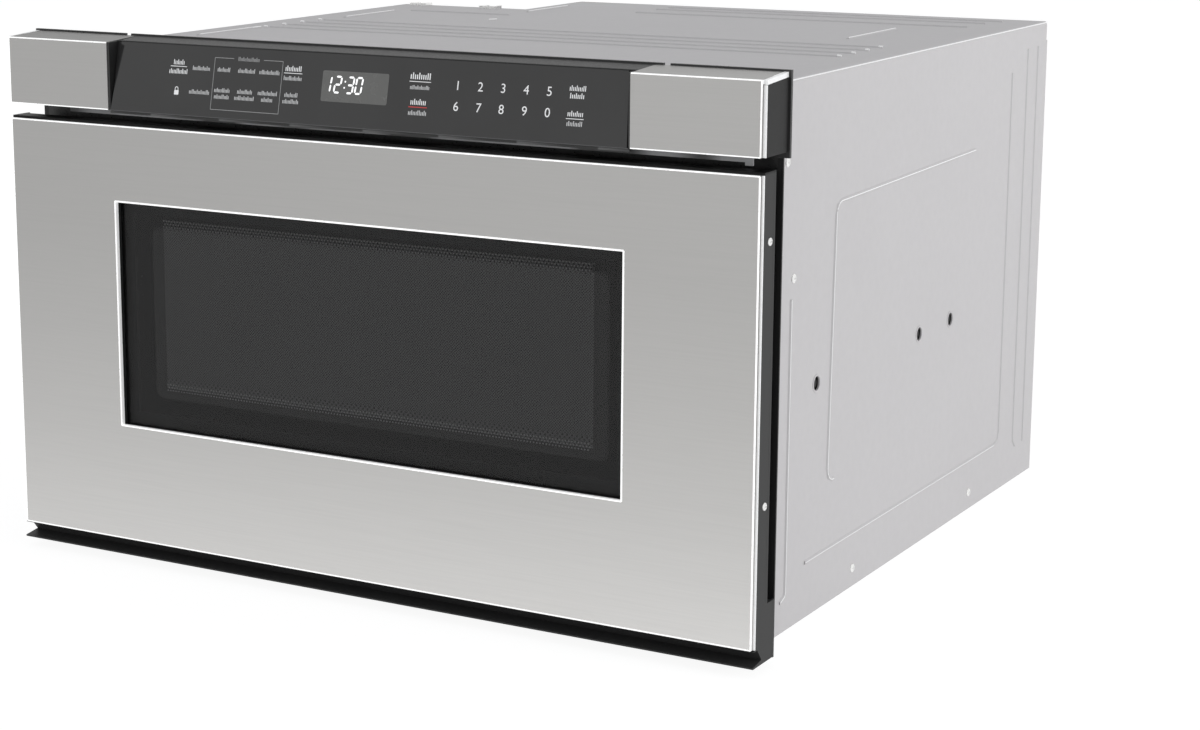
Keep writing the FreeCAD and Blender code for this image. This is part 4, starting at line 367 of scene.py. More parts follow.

# Painted shade on the steel, darkening its tone along an axis as the light falls: axis, its two ends in
# metres, then (share of the way, factor).
# The front: painted shade, darker towards the top and towards the left.
FRONT_PAINTED_SHADE = (
    ("Z", 0.02, 0.33, ((0.0, 1.0), (0.26, 0.825), (0.5, 0.72), (0.74, 0.653), (1.0, 0.64))),
    ("X", -0.3, 0.3, ((0.0, 0.915), (0.5, 0.96), (1.0, 1.0))),
)
# The wing tops: painted shade, the steel at a quarter to a half of its tone, darker towards the left.
TOP_PAINTED_SHADE = (
    ("X", -0.3, 0.3, ((0.0, 0.24), (0.15, 0.26), (0.85, 0.44), (1.0, 0.48))),
)

# The record's slots first, then the looks of prints, edges and details.
LOOKS = (
    ("stainless_brushed", brushed, dict(color=STEEL, metallic=0.75, roughness=0.42, contrast=0.03,
                                        fades=FRONT_PAINTED_SHADE)),
    ("galvanised_sheet", galvanised, dict(color=(0.553, 0.54, 0.545), metallic=0.15, roughness=0.6)),
    ("aluminised_sheet", galvanised, dict(color=(0.55, 0.55, 0.54), metallic=0.7, roughness=0.42)),
    ("black_painted_steel", varied, dict(color=grey(0.012), roughness=0.32, scale=700.0, contrast=0.2,
                                         relief=0.04 * MM)),
    ("black_moulding", moulded, dict(color=grey(0.018), roughness=0.45)),
    ("dark_touch_glass", glass_pane, dict(color=grey(0.022), alpha=1.0, roughness=0.09)),
    ("dark_window_glass", glass_pane, dict(color=grey(0.008), alpha=0.35, roughness=0.05)),
    ("clear_glass", glass_pane, dict(color=(0.6, 0.65, 0.63), alpha=0.25, roughness=0.04)),
    ("display_film", varied, dict(color=FILM, roughness=0.3, scale=300.0)),
    ("circuit_board", varied, dict(color=(0.02, 0.12, 0.05), roughness=0.4, scale=260.0, contrast=0.3,
                                   relief=0.1 * MM)),
    ("zinc_screws", varied, dict(color=(0.72, 0.72, 0.71), metallic=1.0, roughness=0.22, scale=600.0)),
    ("zinc_rail", brushed, dict(color=(0.55, 0.55, 0.53), metallic=0.95, roughness=0.3, contrast=0.08)),
    ("bearing_steel", varied, dict(color=grey(0.6), metallic=1.0, roughness=0.15, contrast=0.04)),
    ("acetal_white", moulded, dict(color=(0.70, 0.69, 0.65), roughness=0.42)),
    ("acetal_grey", moulded, dict(color=grey(0.14), roughness=0.42)),
    ("motor_can", varied, dict(color=(0.22, 0.225, 0.23), metallic=0.7, roughness=0.35, scale=400.0,
                               contrast=0.1)),
    ("enamel_grey", varied, dict(color=(0.27, 0.27, 0.265), roughness=0.25, scale=1200.0, contrast=0.25,
                                 relief=0.03 * MM)),
    ("mica_sheet", varied, dict(color=(0.42, 0.36, 0.24), scale=150.0, contrast=0.15, relief=0.05 * MM)),
    ("laminated_core", varied, dict(color=(0.10, 0.095, 0.09), metallic=0.6, roughness=0.45, scale=40.0,
                                    contrast=0.35, relief=0.2 * MM, stretch=(1, 1, 30))),
    ("aluminium_can", varied, dict(color=grey(0.62), metallic=0.95, roughness=0.32, contrast=0.06)),
    ("white_ceramic", varied, dict(color=(0.74, 0.74, 0.72), roughness=0.12, scale=60.0, contrast=0.02,
                                   relief=0.04 * MM)),
    ("shadow_steel", varied, dict(color=grey(0.008), roughness=0.6, contrast=0.15, relief=0.04 * MM)),
    ("print_white", varied, dict(color=grey(0.93), scale=900.0, contrast=0.04)),
    ("print_light", varied, dict(color=grey(0.66), scale=900.0, contrast=0.04)),
    ("print_grey", varied, dict(color=grey(0.36), scale=900.0, contrast=0.04)),
    ("print_red", varied, dict(color=(0.55, 0.05, 0.05), scale=900.0, contrast=0.05)),
    ("display_look", varied, dict(color=FILM, roughness=0.25, scale=120.0, contrast=0.05)),
    ("lit_white", varied, dict(color=grey(0.92), roughness=0.4, contrast=0.03, Emission_Color=WHITE,
                               Emission_Strength=0.5)),
    # Painted highlights: pale looks that glow, for edges and crests.
    ("edge_bright", varied, dict(color=(0.97, 0.97, 0.96), metallic=0.3, roughness=0.3, scale=400.0,
                                 contrast=0.02, Emission_Color=WHITE, Emission_Strength=0.35)),
    ("crest_bright", varied, dict(color=grey(0.82), metallic=0.3, roughness=0.35, scale=400.0,
                                  contrast=0.03, Emission_Color=WHITE, Emission_Strength=0.09)),
    ("screw_bright", varied, dict(color=(0.86, 0.86, 0.85), metallic=1.0, roughness=0.28, scale=700.0,
                                  contrast=0.05)),
    ("dot_grey", varied, dict(color=grey(0.34), contrast=0.1)),
    ("cap_grey", varied, dict(color=grey(0.03), scale=700.0, contrast=0.1, Specular_IOR_Level=0.25)),
    ("chin_grey", varied, dict(color=grey(0.075), roughness=0.4, contrast=0.1)),
    ("top_steel", brushed, dict(color=STEEL, metallic=0.75, roughness=0.42, contrast=0.03, fades=TOP_PAINTED_SHADE)),
    ("satin_dark", moulded, dict(color=grey(0.016), roughness=0.55, Specular_IOR_Level=0.2)),
    ("satin_moulding", frame_moulding_painted_top, dict(color=grey(0.027), roughness=0.5, Specular_IOR_Level=0.2)),
    ("screen_look", screen_sheet, {}),
    ("chin_look", painted_sheen_ledge, {}),
    ("strip_look", painted_reflection_band, {}),
)
looks = {name: make(name, **values) for name, make, values in LOOKS}


def dress_frame():
    """Give each CAD node the look of its record slot, with exceptions: near-black painted shade on the rail
    brackets and their screws so the access holes look dark, painted shade on the drawer frame's top, and
    bright metal on the recess tabs as a painted highlight.
    """
    chosen = {part["node"]: part["material_slot"] for part in frame["record"]["subparts"]}
    # Painted shade on the rail brackets, rail screws and drawer frame; a painted highlight on the recess
    # tabs.
    chosen.update(rail_brackets="shadow_steel", rail_screws="shadow_steel", drawer_frame="satin_moulding",
                  recess_tabs="screw_bright")
    for name, node in frame["nodes"].items():
        node.data.materials.clear()
        node.data.materials.append(looks[chosen[name]])


# ------------------------------------------------------------------ mesh helpers
PLATE_GAP = 0.02 * MM
BOX_FACES = ((0, 1, 3, 2), (4, 6, 7, 5), (0, 4, 5, 1), (2, 3, 7, 6), (0, 2, 6, 4), (1, 5, 7, 3))


def piece(name, data, look, body):
    obj = bpy.data.objects.new(name, data)
    bpy.context.scene.collection.objects.link(obj)
    data.materials.append(looks[look])
    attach(obj, body)
    return obj


def shape(name, build, look, body, smooth=False):
    """A piece whose closed mesh is drawn by build(bm)."""
    bm = bmesh.new()
    build(bm)
    bmesh.ops.recalc_face_normals(bm, faces=bm.faces)
    data = bpy.data.meshes.new(name)
    bm.to_mesh(data)
    bm.free()
    if smooth:
        data.polygons.foreach_set("use_smooth", [True] * len(data.polygons))
    return piece(name, data, look, body)


def circle(radius, count, shift=0.0):
    """Points of a circle as (across, up) pairs."""
    turns = [2 * math.pi * (k + shift) / count for k in range(count)]
    return [(radius * math.cos(turn), radius * math.sin(turn)) for turn in turns]


def join_rings(bm, first, second):
    """Faces between two rings of as many vertices."""
    count = len(first)
    for k in range(count):
        after = (k + 1) % count
        bm.faces.new((first[k], first[after], second[after], second[k]))


def plate(bm, place, outline, thickness):
    """A thin plate from (x, z) points through place(x, z, lift)."""
    back = [bm.verts.new(place(x, z, PLATE_GAP)) for x, z in outline]
    face = [bm.verts.new(place(x, z, PLATE_GAP + thickness)) for x, z in outline]
    bm.faces.new(face)
    bm.faces.new(list(reversed(back)))
    join_rings(bm, back, face)


def rounded(x0, x1, z0, z1, radius, steps=5):
    """Corners of a rounded rectangle as (x, z) points."""
    points = []
    for cx, cz, start in ((x1 - radius, z1 - radius, 0), (x0 + radius, z1 - radius, 90),
                          (x0 + radius, z0 + radius, 180), (x1 - radius, z0 + radius, 270)):
        for k in range(steps + 1):
            angle = math.radians(start + 90 * k / steps)
            points.append((cx + radius * math.cos(angle), cz + radius * math.sin(angle)))
    return points


def tube(bm, path, radius, sides=8):
    """A round bead along an open path of points."""
    rings = []
    for index, point in enumerate(path):
        ahead = path[min(index + 1, len(path) - 1)]
        back = path[max(index - 1, 0)]
        along = (ahead - back).normalized()
        steep = abs(along.z) >= 0.9
        side = along.cross(Vector((0, 1, 0)) if steep else Vector((0, 0, 1))).normalized()
        up = along.cross(side).normalized()
        rings.append([bm.verts.new(point + (side * u + up * v) * radius) for u, v in circle(1.0, sides)])
    for first, second in zip(rings, rings[1:]):
        join_rings(bm, first, second)
    bm.faces.new(list(reversed(rings[0])))
    bm.faces.new(rings[-1])


def beads(bm, points, radius, sides=8):
    """A bead along each straight run of a list of (x, y, z) points."""
    for first, second in zip(points, points[1:]):
        tube(bm, [Vector(first), Vector(second)], radius, sides)


def rectangle(x0, x1, y, z0, z1):
    return [(x0, y, z0), (x1, y, z0), (x1, y, z1), (x0, y, z1), (x0, y, z0)]


def box(bm, x_ends, y_ends, near, far=None):
    """A closed box; its (low, high) in z may change from near at the first y to far at the second."""
    levels = zip(y_ends, (near, far or near))
    spots = [(y, z) for y, heights in levels for z in heights]
    corner = [bm.verts.new((x, y, z)) for x in x_ends for y, z in spots]
    for face in BOX_FACES:
        bm.faces.new([corner[k] for k in face])


def mirrored_box(bm, x_ends, y_ends, near, far=None):
    """The same box on both sides of the middle plane."""
    box(bm, x_ends, y_ends, near, far)
    box(bm, (-x_ends[1], -x_ends[0]), y_ends, near, far)


# ------------------------------------------------------------------ control panel prints
PRINT = 0.05 * MM
BAR_ROUNDING = 0.35
TICK_PITCH = 0.36
TICK_SHARE = 0.5
TICKS = (1.0, 0.72, 0.72, 1.0, 0.72, 0.72, 0.72, 1.0, 1.0, 0.72, 0.72)

# Places of the keys in millimetres: x from the middle, z from the floor.
KEY_ROWS = (364.5, 348.4)
KEY_COLUMNS = (-148.8, -129.3, -110.1, -91.0, -72.0, -52.5)
START_X = 48.7
RIGHT_X = 166.0
DIGIT_COLUMNS = (77.7, 94.8, 111.8, 128.9, 145.8)
DIGIT_ROWS = (363.4, 350.1)


def bar(bm, x, z, width, height):
    corner = min(width, height) * BAR_ROUNDING
    outline = rounded(x - width / 2, x + width / 2, z - height / 2, z + height / 2, corner, 2)
    plate(bm, on_panel, outline, PRINT)


def mark(bm, x, z, width, height):
    """A key's generic mark: a row of thin ticks of two heights, centred on x."""
    count = max(3, round(width / (height * TICK_PITCH)))
    pitch = width / count
    foot = z - height / 2
    for k in range(count):
        tall = height * TICKS[(k + count) % len(TICKS)]
        bar(bm, x - width / 2 + pitch * (k + 0.5), foot + tall / 2, pitch * TICK_SHARE, tall)


def each_in_mm(draw, bm, rows):
    """Draw a bar or a mark for each (x, z, width, height) in millimetres."""
    for row in rows:
        draw(bm, *mm(*row))


def key_marks():
    """The keys' marks, light ones and strong ones, with the lines under some of the strong ones."""
    high, low = KEY_ROWS
    columns, start, right = KEY_COLUMNS, START_X, RIGHT_X
    thin, half_line = 3.0, 2.15

    def light(bm):
        rows = [(columns[1], high, 15.0, thin), (columns[2], high, 10.9, thin),
                (columns[3], high, 14.5, thin), (columns[4], high, 17.0, thin),
                (columns[5], high - 2.9, 15.0, thin), (columns[1], low, 17.5, thin)]
        pairs = ((13.4, 12.8), (12.8, 16.6), (16.2, 9.6), (11.0, 13.2))
        for x, (upper, lower) in zip(columns[2:], pairs):
            rows += [(x, low + half_line, upper, thin), (x, low - half_line, lower, thin)]
        rows += [(start, 360.9, 15.2, 2.7), (start, 344.6, 14.4, 3.2), (right, 344.6, 11.6, 3.2)]
        each_in_mm(mark, bm, rows)
    shape("key_marks", light, "print_light", "chassis")

    def strong(bm):
        tall, line = 3.5, 0.45
        each_in_mm(mark, bm, ((columns[0], high + 3.3, 9.6, tall), (columns[0], high - 2.9, 16.0, tall),
                              (columns[5], high + 3.5, 13.6, 3.7), (start, 368.2, 16.2, 4.3),
                              (start, 351.6, 12.4, 3.9), (right, 366.6, 12.2, tall),
                              (right, 361.9, 10.7, tall), (right, 350.8, 11.7, tall)))
        each_in_mm(bar, bm, ((columns[0], high + 0.4, 14.0, line), (columns[5], high + 0.4, 15.0, line),
                             (start, 364.6, 16.6, line), (right, 347.6, 12.8, line)))
    shape("key_marks_strong", strong, "print_white", "chassis")


def group_outline():
    """Thin printed line round the middle group of keys, broken at its top by a mark."""
    x0, x1, z0, z1 = mm(-118.4, -61.5, 337.4, 372.3)
    line, gap, mark_width, mark_height = mm(0.35, 12.5, 18.0, 2.8)
    middle = (x0 + x1) / 2

    def build(bm):
        bar(bm, middle, z0, x1 - x0, line)
        for x in (x0, x1):
            low, high = x - line / 2, x + line / 2
            plate(bm, on_panel, ((low, z0), (high, z0), (high, z1), (low, z1)), PRINT)
        bar(bm, (x0 + middle - gap) / 2, z1, middle - gap - x0, line)
        bar(bm, (x1 + middle + gap) / 2, z1, x1 - middle - gap, line)
        mark(bm, middle, z1, mark_width, mark_height)
    shape("group_outline", build, "print_grey", "chassis")


def lock_mark():
    """Padlock pictogram: a body with a round shackle."""
    x, z = mm(KEY_COLUMNS[0], KEY_ROWS[1] - 0.6)
    half, foot, rim, corner = mm(1.9, 2.2, 0.9, 0.4)
    outer, inner, rise = mm(1.5, 0.95, 1.9)
    steps = 10

    def build(bm):
        plate(bm, on_panel, rounded(x - half, x + half, z - foot, z + rim, corner, 3), PRINT)
        arc = [math.pi * k / steps for k in range(steps + 1)]
        top, seam = z + rise, z + rim
        loop = [(x + outer, seam)]
        loop += [(x + outer * math.cos(turn), top + outer * math.sin(turn)) for turn in arc]
        loop += [(x - outer, seam), (x - inner, seam)]
        loop += [(x - inner * math.cos(turn), top + inner * math.sin(turn)) for turn in arc]
        loop += [(x + inner, seam)]
        plate(bm, on_panel, loop, PRINT)
    shape("lock_mark", build, "print_white", "chassis")


def stop_line():
    def build(bm):
        bar(bm, *mm(START_X, 348.2, 14.4, 0.6))
    shape("stop_line", build, "print_red", "chassis")


def digit_mesh(text, size):
    curve = bpy.data.curves.new("digit_" + text, "FONT")
    curve.body = text
    curve.size = size
    curve.align_x = "CENTER"
    curve.align_y = "CENTER"
    curve.extrude = PRINT / 2
    curve.resolution_u = 6
    holder = bpy.data.objects.new("digit_holder", curve)
    bpy.context.scene.collection.objects.link(holder)
    bpy.context.view_layer.update()
    data = bpy.data.meshes.new_from_object(holder.evaluated_get(bpy.context.evaluated_depsgraph_get()))
    bpy.data.objects.remove(holder)
    return data


def digit_keys():
    """The ten digits on their keys, lying on the leaning face."""
    size, lift = mm(8.6, 0.04)
    turn = Matrix.Rotation(math.radians(90) - lean_angle, 4, "X")
    for index in range(10):
        name = "digit_" + str((index + 1) % 10)
        x, z = mm(DIGIT_COLUMNS[index % 5], DIGIT_ROWS[index // 5])
        data = digit_mesh(name[-1], size)
        data.transform(Matrix.Translation(on_panel(x, z, lift)) @ turn)
        data.name = name
        piece(name, data, "print_white", "chassis")


# ------------------------------------------------------------------ display
DISPLAY = mm(-28.2, 24.4, 348.0, 368.3)
DISPLAY_CORNER = 1.3 * MM
DIGIT_HEIGHT, DIGIT_WIDTH, DIGIT_STROKE, DIGIT_FOOT = mm(10.4, 4.6, 1.35, 354.2)
DIGIT_SLANT = 0.12
DIGIT_LIFT = 0.08 * MM
SEGMENTS = {"1": "bc", "2": "abged", "3": "abgcd", "0": "abcdef"}
# Each digit with the x of its left side, and the colon's x, in millimetres.
TIME = (("1", -26.4), ("2", -18.4), ("3", -8.4), ("0", -1.6))
COLON_X = -10.6
COLON_ROWS = mm(357.6, 361.6)
COLON_HALF, COLON_CORNER = mm(0.55, 0.3)

# Ends of the seven segments as (across, up) shares of a digit.
SEGMENT_ENDS = {
    "a": ((0, 1), (1, 1)), "g": ((0, 0.5), (1, 0.5)), "d": ((0, 0), (1, 0)), "f": ((0, 0.5), (0, 1)),
    "b": ((1, 0.5), (1, 1)), "e": ((0, 0), (0, 0.5)), "c": ((1, 0), (1, 0.5)),
}
SEGMENT_GAP = 0.45
SEGMENT_BEVEL = 0.95


def display_window():
    def build(bm):
        plate(bm, on_panel, rounded(*DISPLAY, DISPLAY_CORNER), PRINT)
    shape("display_window", build, "display_look", "chassis")


def display_time():
    """Seven-segment time: four slanted digits and a colon, lit white."""
    def place(x, z, lift):
        return on_panel(x, z, lift + DIGIT_LIFT)

    def segment(bm, x, key):
        half = DIGIT_STROKE / 2
        tail, tip = [Vector((u * DIGIT_WIDTH, v * DIGIT_HEIGHT)) for u, v in SEGMENT_ENDS[key]]
        along = (tip - tail).normalized()
        side = Vector((-along.y, along.x))
        start = tail + along * half * SEGMENT_GAP
        stop = tip - along * half * SEGMENT_GAP
        bevel = half * SEGMENT_BEVEL
        outline = [start, start + (along + side) * bevel, stop + (side - along) * bevel, stop,
                   stop - (along + side) * bevel, start + (along - side) * bevel]
        points = [(x + p.x + p.y * DIGIT_SLANT, DIGIT_FOOT + p.y) for p in reversed(outline)]
        plate(bm, place, points, PRINT / 2)

    def build(bm):
        for text, x in TIME:
            for key in SEGMENTS[text]:
                segment(bm, x * MM, key)
        for z in COLON_ROWS:
            x = COLON_X * MM + (z - DIGIT_FOOT) * DIGIT_SLANT
            ends = x - COLON_HALF, x + COLON_HALF, z - COLON_HALF, z + COLON_HALF
            plate(bm, place, rounded(*ends, COLON_CORNER, 3), PRINT / 2)
    shape("display_time", build, "lit_white", "chassis")


# ------------------------------------------------------------------ window screen
def window_screen():
    """Pressed screen behind the glass, with a step round it."""
    margin, gap = mm(9.4, 0.6)
    place = upright(door_face - gap)
    x1, z0, z1 = window_x - margin, window_z0 + margin, window_z1 - margin
    steps = ((0.0, 0.0, 3.0), (9.0, 0.0, 7.0), (10.5, 1.0, 6.5), (13.0, 1.0, 6.0))

    def build(bm):
        rings = []
        for inset, rise, radius in (mm(*step) for step in steps):
            outline = rounded(-x1 + inset, x1 - inset, z0 + inset, z1 - inset, radius)
            rings.append([bm.verts.new(place(x, z, rise)) for x, z in outline])
        for first, second in zip(rings, rings[1:]):
            join_rings(bm, first, second)
        bm.faces.new(rings[-1])
        bm.faces.new(list(reversed(rings[0])))
    shape("window_screen", build, "screen_look", "drawer")


def screen_rows():
    """Three staggered rows of larger light dots along the screen's top and bottom edges."""
    place = upright(door_face - 1.7 * MM)
    radius, pitch, thickness = mm(0.58, 2.4, 0.1)
    dot = circle(radius, 8)
    z0, z1 = SCREEN_Z

    def build(bm):
        for row in range(3):
            for z in (z1 - (0.9 + 2.1 * row) * MM, z0 + (2.9 - 2.1 * row) * MM):
                for k in range(int(2 * SCREEN_X / pitch)):
                    x = -SCREEN_X + pitch * (k + 0.25 + 0.5 * (row % 2))
                    plate(bm, place, [(x + u, z + v) for u, v in dot], thickness)
    shape("screen_rows", build, "dot_grey", "drawer")


# ------------------------------------------------------------------ edges, lips and margins
SIDE_COVER_X = 298.5 * MM
TOP_RISE = 2.0 * MM
EDGE_INSET = 0.3 * MM


def window_edges():
    """Painted highlight: a glowing white bead on the corner of the window's cut-out, and its folded-in
    lining in the same glowing white.
    """
    bead, wall, lift = mm(0.7, 0.35, 0.1)
    depths = behind(0.2), behind(3.0)

    def build(bm):
        beads(bm, rectangle(-window_x, window_x, front + lift, window_z0, window_z1), bead)
        mirrored_box(bm, (window_x - wall, window_x), depths, (window_z0, window_z1))
        for z in (window_z0, window_z1 - wall):
            box(bm, (-window_x, window_x), depths, (z, z + wall))
    shape("window_edge", build, "edge_bright", "drawer")


def skin_edges():
    """Painted highlights: a glowing bead on the skin's front corner, and the rear hems of its side returns
    in a faintly glowing pale grey.
    """
    bead, lap = mm(0.62, 0.1)
    x, z0, z1 = skin_high.x, skin_low.z, skin_high.z

    def corner(bm):
        inset = EDGE_INSET
        beads(bm, rectangle(-x + inset, x - inset, front + inset, z0 + inset, z1 - inset), bead)
    shape("skin_edge", corner, "edge_bright", "drawer")

    def hems(bm):
        mirrored_box(bm, (x + lap, frame_high.x), (behind(2.5), behind(3.52)), (z0, z1))
    shape("skin_hems", hems, "crest_bright", "drawer")


def wing_edges():
    """Painted highlights: glowing beads on the front corners of both wings, and faintly glowing hems of
    their side returns and folded outer top edges. The bead on the corner beside the panel is thinner, and is
    painted on the right wing only."""
    bead, soft_bead, lap = mm(0.5, 0.25, 0.1)
    out, hem, top = wing_high.x, behind(3.2), wing_high.z + lap
    fold = wing_high.z - 3.3 * MM

    def corner(bm):
        near = front + EDGE_INSET
        z0, z1 = wing_low.z + EDGE_INSET, wing_high.z - EDGE_INSET
        x0, x1 = wing_low.x + EDGE_INSET, wing_high.x - EDGE_INSET
        for side in (-1, 1):
            inner, outer = side * x0, side * x1
            beads(bm, [(inner, near, z0), (outer, near, z0), (outer, near, z1), (inner, near, z1)], bead)
        beads(bm, [(x0, near, z0), (x0, near, z1)], soft_bead)
    shape("wing_edges", corner, "edge_bright", "chassis")

    def folds(bm):
        inward, outward, low, far = out - 0.6 * MM, out + 0.3 * MM, fold + 0.2 * MM, wing_high.y - 0.4 * MM
        mirrored_box(bm, (inward, SIDE_COVER_X), (hem, far), (low, top), (low + TOP_RISE, top + TOP_RISE))
        mirrored_box(bm, (inward, outward), (behind(0.5), hem), (fold + 0.8 * MM, top))
        mirrored_box(bm, (out + lap, SIDE_COVER_X), (hem - 0.6 * MM, hem + 0.3 * MM), (wing_low.z, fold))
    shape("wing_folds", folds, "crest_bright", "chassis")


def wing_tops():
    """Top faces of both wings, which rise towards the flange behind them, in a darker copy of the steel:
    painted shade.
    """
    depth, skim, lap = mm(0.5, 0.05, 0.1)
    z = wing_high.z

    def build(bm):
        mirrored_box(bm, (wing_low.x, wing_high.x), (behind(0.6), wing_high.y - lap),
                     (z - depth, z + skim), (z - depth, z + TOP_RISE))
    shape("wing_tops", build, "top_steel", "chassis")


def wing_side_covers():
    """Black outer cheeks of the control housing, behind the wings' short steel returns, in a darker, less
    glossy copy of the black moulding: painted shade against the light they catch.
    """
    lap, fold = 0.3 * MM, wing_high.z - 3.2 * MM

    def build(bm):
        mirrored_box(bm, (wing_high.x - lap, SIDE_COVER_X), (behind(3.9), wing_high.y),
                     (wing_low.z, fold), (wing_low.z, fold + TOP_RISE))
    shape("wing_side_covers", build, "satin_dark", "chassis")


def panel_cap():
    """Top strip of the control housing between the wings, with a black line along its front edge."""
    depth, lap, bead = mm(0.5, 0.1, 0.6)
    edge_x = wing_low.x - 0.6 * MM
    z = wing_high.z

    def strip(bm):
        box(bm, (-edge_x, edge_x), (glass_high.y + 0.3 * MM, wing_high.y - lap),
            (z - depth, z + lap), (z - depth, z + TOP_RISE))
    shape("panel_cap", strip, "cap_grey", "chassis")

    def line(bm):
        y = glass_high.y - lap
        beads(bm, [(-edge_x, y, z + lap), (edge_x, y, z + lap)], bead)
    shape("panel_cap_line", line, "shadow_steel", "chassis")


def frame_lips():
    """Rear lips of the drawer frame's side walls: a shallow one above and a deeper one at the foot."""
    lap, wall, step = mm(0.2, 1.7, 45.0)

    def build(bm):
        x_ends = frame_high.x - wall, frame_high.x
        for start, stop, z0, z1 in ((17.3, 20.2, step, frame_high.z), (28.4, 31.8, frame_low.z, step)):
            mirrored_box(bm, x_ends, (behind(start) - lap, behind(stop)), (z0, z1))
    shape("frame_lips", build, "satin_moulding", "drawer")


def plate_margins():
    """Outer margins of the black front plate, seen between the drawer front and the casing, in near-black
    steel darker than the plate's paint: partly the plate, partly painted shade of the gap.
    """
    margin, lap, skim, gap = mm(4.0, 0.5, 0.05, 0.3)

    def build(bm):
        mirrored_box(bm, (plate_high.x - lap, plate_high.x + margin), (plate_low.y + skim, plate_high.y),
                     (plate_low.z, housing_floor - gap))
    shape("plate_margins", build, "shadow_steel", "chassis")


def panel_chin():
    """What shows under the panel: the glass's lower edge, the housing's chin and a pale strip behind it."""
    edge_x = wing_low.x - 1.0 * MM
    glass_foot = glass_low.z

    def edge(bm):
        y = glass_low.y + 0.2 * MM
        beads(bm, [(-edge_x, y, glass_foot), (edge_x, y, glass_foot)], 0.35 * MM)
    shape("glass_edge", edge, "chin_grey", "chassis")

    def chin(bm):
        top = glass_foot - 0.7 * MM
        box(bm, (-edge_x, edge_x), (behind(1.2), behind(4.0)), (top - 1.5 * MM, top))
    shape("panel_chin", chin, "chin_look", "chassis")

    def strip(bm):
        near, far = behind(20.0), behind(21.2)
        box(bm, mm(-258.0, 277.0), (near, far), mm(325.8, 330.5))
        box(bm, mm(277.0, 282.2), (near - 0.6 * MM, far), mm(323.9, 330.5))
    shape("chin_strip", strip, "strip_look", "chassis")


# ------------------------------------------------------------------ casing details
BODY_X, BODY_TOP, BEND_CREST = mm(275.1, 370.2, 0.88)

# Ends of the casing's top edges, in millimetres behind the drawer's front.
BODY_FRONT = 37.1
BODY_REAR = 595.3
RECESS_FRONT = 495.8

# Pressed lines in millimetres. On the sides: (depth, z) points, the bend's radius and the crest's.
SIDE_LINES = (
    (((435.7, 284.8), (170.0, 280.5), (164.8, 88.0), (176.0, 88.0)), 9.0, 0.37),
    (((98.0, 226.0), (98.0, 25.0), (90.0, 22.0)), 4.0, 0.4),
    (((130.0, 39.5), (502.0, 39.5)), 9.0, 0.24),
)
# On the top: (x, depth) ends of lines, and places of the short crests at the ends of the long beads.
TOP_LINES = (
    ((196.0, 373.0), (196.0, 466.0)), ((-245.0, 160.0), (-245.0, 239.0)), ((-239.0, 352.0), (-239.0, 424.0)),
    ((-135.0, 473.0), (-135.0, 540.0)), ((-121.3, 383.2), (-118.0, 390.0)),
)
TOP_DOTS = ((243.4, 243.5), (243.4, 268.8), (243.4, 294.1), (243.4, 319.4))
# Centres of the access holes in the sides, as (depth, z).
ACCESS_HOLES = ((143.6, 161.2), (331.0, 161.2), (394.6, 161.2))


def bent_path(points, radius, steps=6):
    """Points of a path whose inner corners are rounded."""
    path = [Vector(points[0])]
    for previous, bend, following in zip(points, points[1:], points[2:]):
        bend = Vector(bend)
        back, ahead = (Vector(previous) - bend).normalized(), (Vector(following) - bend).normalized()
        half_turn = back.angle(ahead) / 2
        reach = radius / math.tan(half_turn)
        start, stop = bend + back * reach, bend + ahead * reach
        centre = bend + (back + ahead).normalized() * radius / math.sin(half_turn)
        for k in range(steps + 1):
            chord = start.lerp(stop, k / steps) - centre
            path.append(centre + chord.normalized() * radius)
    path.append(Vector(points[-1]))
    return path


def pressed_highlights():
    """Painted highlights: faintly glowing beads on the crests of the pressed lines, and along the casing's
    two long top edges.
    """
    sides = 6
    line_radius, dot_radius, dot_half, dot_sink, edge_radius, lift = mm(0.5, 0.8, 1.5, 0.1, 0.45, 0.8)
    crest_x, crest_z = BODY_X + lift, BODY_TOP + lift

    def build(bm):
        for side in (-1, 1):
            for line, bend, size in SIDE_LINES:
                path = [Vector((side * crest_x, behind(p.x), p.y * MM)) for p in bent_path(line, bend)]
                tube(bm, path, size * MM, sides)
            rear = BODY_REAR if side > 0 else RECESS_FRONT
            x, z = side * (BODY_X - BEND_CREST), BODY_TOP - BEND_CREST
            beads(bm, [(x, behind(BODY_FRONT), z), (x, behind(rear), z)], edge_radius, sides)
        for ends in TOP_LINES:
            beads(bm, [(x * MM, behind(depth), crest_z) for x, depth in ends], line_radius, sides)
        for x, depth in TOP_DOTS:
            for sign in (-1, 1):
                centre = Vector((sign * x * MM, behind(depth), crest_z - dot_sink))
                half = Vector((dot_half, 0, 0))
                tube(bm, [centre - half, centre + half], dot_radius)
    shape("pressed_highlights", build, "crest_bright", "chassis")


def access_rims():
    """Thin pressed rims that line the six access holes in the casing's sides."""
    inner, outer, rise, skim = mm(4.9, 6.5, 0.35, 0.05)
    sides = 40
    profile = ((outer, 0.0), (outer, rise * 0.6), (outer - 0.5 * MM, rise), (inner + 0.3 * MM, rise),
               (inner, 0.0), (inner, -1.1 * MM))

    def build(bm):
        for side in (-1, 1):
            face = side * (BODY_X + skim)
            for depth, z in ACCESS_HOLES:
                rings = []
                for radius, out in profile:
                    x, y, ring = face + side * out, behind(depth), circle(radius, sides)
                    rings.append([bm.verts.new((x, y + u, z * MM + v)) for u, v in ring])
                for first, second in zip(rings, rings[1:] + rings[:1]):
                    join_rings(bm, first, second)
    shape("access_rims", build, "galvanised_sheet", "chassis")


